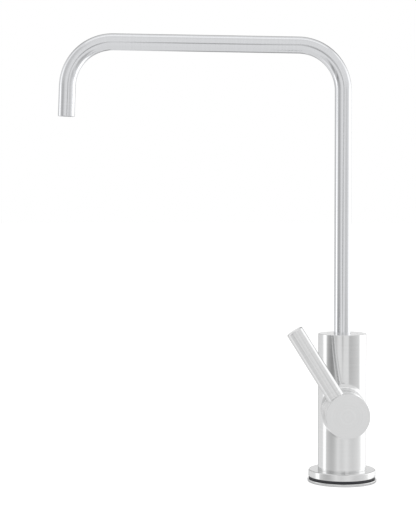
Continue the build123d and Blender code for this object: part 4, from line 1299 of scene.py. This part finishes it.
def card_mesh(name, low, high):
    """A flat card between two opposite corners."""
    mesh = bpy.data.meshes.new(name)
    corners = [low, (high[0], *low[1:]), high, (low[0], *high[1:])]
    mesh.from_pydata(corners, [], [(3, 2, 1, 0)])
    return mesh


def add_lamp(name, spot, watts):
    """A large square lamp aimed at the tap, which neither the camera nor metal sees."""
    lamp = bpy.data.lights.new(name, "AREA")
    lamp.shape = "SQUARE"
    lamp.size = LAMP_SIZE
    lamp.energy = watts
    holder = new_piece(name, lamp)
    holder.location = spot
    holder.rotation_euler = (LAMP_AIM - Vector(spot)).to_track_quat("-Z", "Y").to_euler()
    holder.visible_glossy = False
    holder.visible_camera = False


class TAP_OT_stage(bpy.types.Operator):
    """Lay the pale floor and set the soft lamps, the reflector panels and the camera"""

    bl_idname = "tap.stage"
    bl_label = "Stage"

    def execute(self, context):
        scene = context.scene
        stage = scene.tap_stage
        scene.view_settings.view_transform = "Standard"

        material = floor_material(stage.floor_colour)
        hole = cad_size("threaded_shank", 0) / 2 + FLOOR_HOLE_GAP
        for name, inner, outer in (
            ("floor_near", hole, FLOOR_NEAR_RADIUS),
            ("floor_far", FLOOR_NEAR_RADIUS, FLOOR_FAR_RADIUS),
        ):
            rims = [(outer, FLOOR_HEIGHT), (inner, FLOOR_HEIGHT)]
            floor = stage_piece(name, turned_mesh(name, rims, ORIGIN, UP, FLOOR_SIDES), material)
            floor.visible_glossy = name == "floor_near"

        rims = [(PANEL_RING["radius"], PANEL_RING[height]) for height in ("low", "high")]
        panels = turned_mesh("reflector_panels", rims, ORIGIN, UP, PANEL_RING["sides"])
        stage_piece("reflector_panels", panels, surround_material(), True)
        stage_piece("dim_card", card_mesh("dim_card", *DIM_CARD), card_material(), True)
        overhead = card_mesh("overhead_card", *OVERHEAD_CARD)
        stage_piece("overhead_card", overhead, overhead_material(), True)

        scene.world = white_room(stage)
        add_lamp("key_lamp", KEY_LAMP, stage.key_power)
        add_lamp("fill_lamp", FILL_LAMP, stage.fill_power)

        lens = bpy.data.cameras.new("product_camera")
        lens.sensor_fit = "AUTO"
        lens.sensor_width = 36.0
        lens.lens = stage.camera_lens
        lens.clip_start = 0.01
        lens.clip_end = 100.0
        camera = new_piece("product_camera", lens)
        camera.location = stage.camera_place
        camera.rotation_euler = (pi / 2 - stage.camera_pitch, 0.0, 0.0)
        scene.camera = camera
        return {"FINISHED"}


class TAP_PT_panel(bpy.types.Panel):
    """The tap's pieces, in the order they are made"""

    bl_idname = "TAP_PT_panel"
    bl_label = "Drinking Water Tap"
    bl_space_type = "VIEW_3D"
    bl_region_type = "UI"
    bl_category = "Tap"

    def draw(self, context):
        for operator in OPERATORS:
            self.layout.operator(operator.bl_idname)
        for group in (context.scene.tap_sizes, context.scene.tap_finishes, context.scene.tap_stage):
            box = self.layout.box()
            for name in group.__annotations__:
                box.prop(group, name)


OPERATORS = (
    TAP_OT_finishes,
    TAP_OT_spout,
    TAP_OT_body,
    TAP_OT_base_stack,
    TAP_OT_knob,
    TAP_OT_lever,
    TAP_OT_shank,
    TAP_OT_kept_shapes,
    TAP_OT_stage,
)
CLASSES = (TapSizes, TapFinishes, TapStage, *OPERATORS, TAP_PT_panel)


def register():
    for cls in CLASSES:
        bpy.utils.register_class(cls)
    bpy.types.Scene.tap_sizes = PointerProperty(type=TapSizes)
    bpy.types.Scene.tap_finishes = PointerProperty(type=TapFinishes)
    bpy.types.Scene.tap_stage = PointerProperty(type=TapStage)


def unregister():
    del bpy.types.Scene.tap_stage
    del bpy.types.Scene.tap_finishes
    del bpy.types.Scene.tap_sizes
    for cls in reversed(CLASSES):
        bpy.utils.unregister_class(cls)


def main():
    register()
    bpy.ops.tap.finishes()
    bpy.ops.tap.spout()
    bpy.ops.tap.body()
    bpy.ops.tap.base_stack()
    bpy.ops.tap.knob()
    bpy.ops.tap.lever()
    bpy.ops.tap.shank()
    bpy.ops.tap.kept_shapes()
    bpy.ops.tap.stage()


if __name__ == "__main__":
    main()
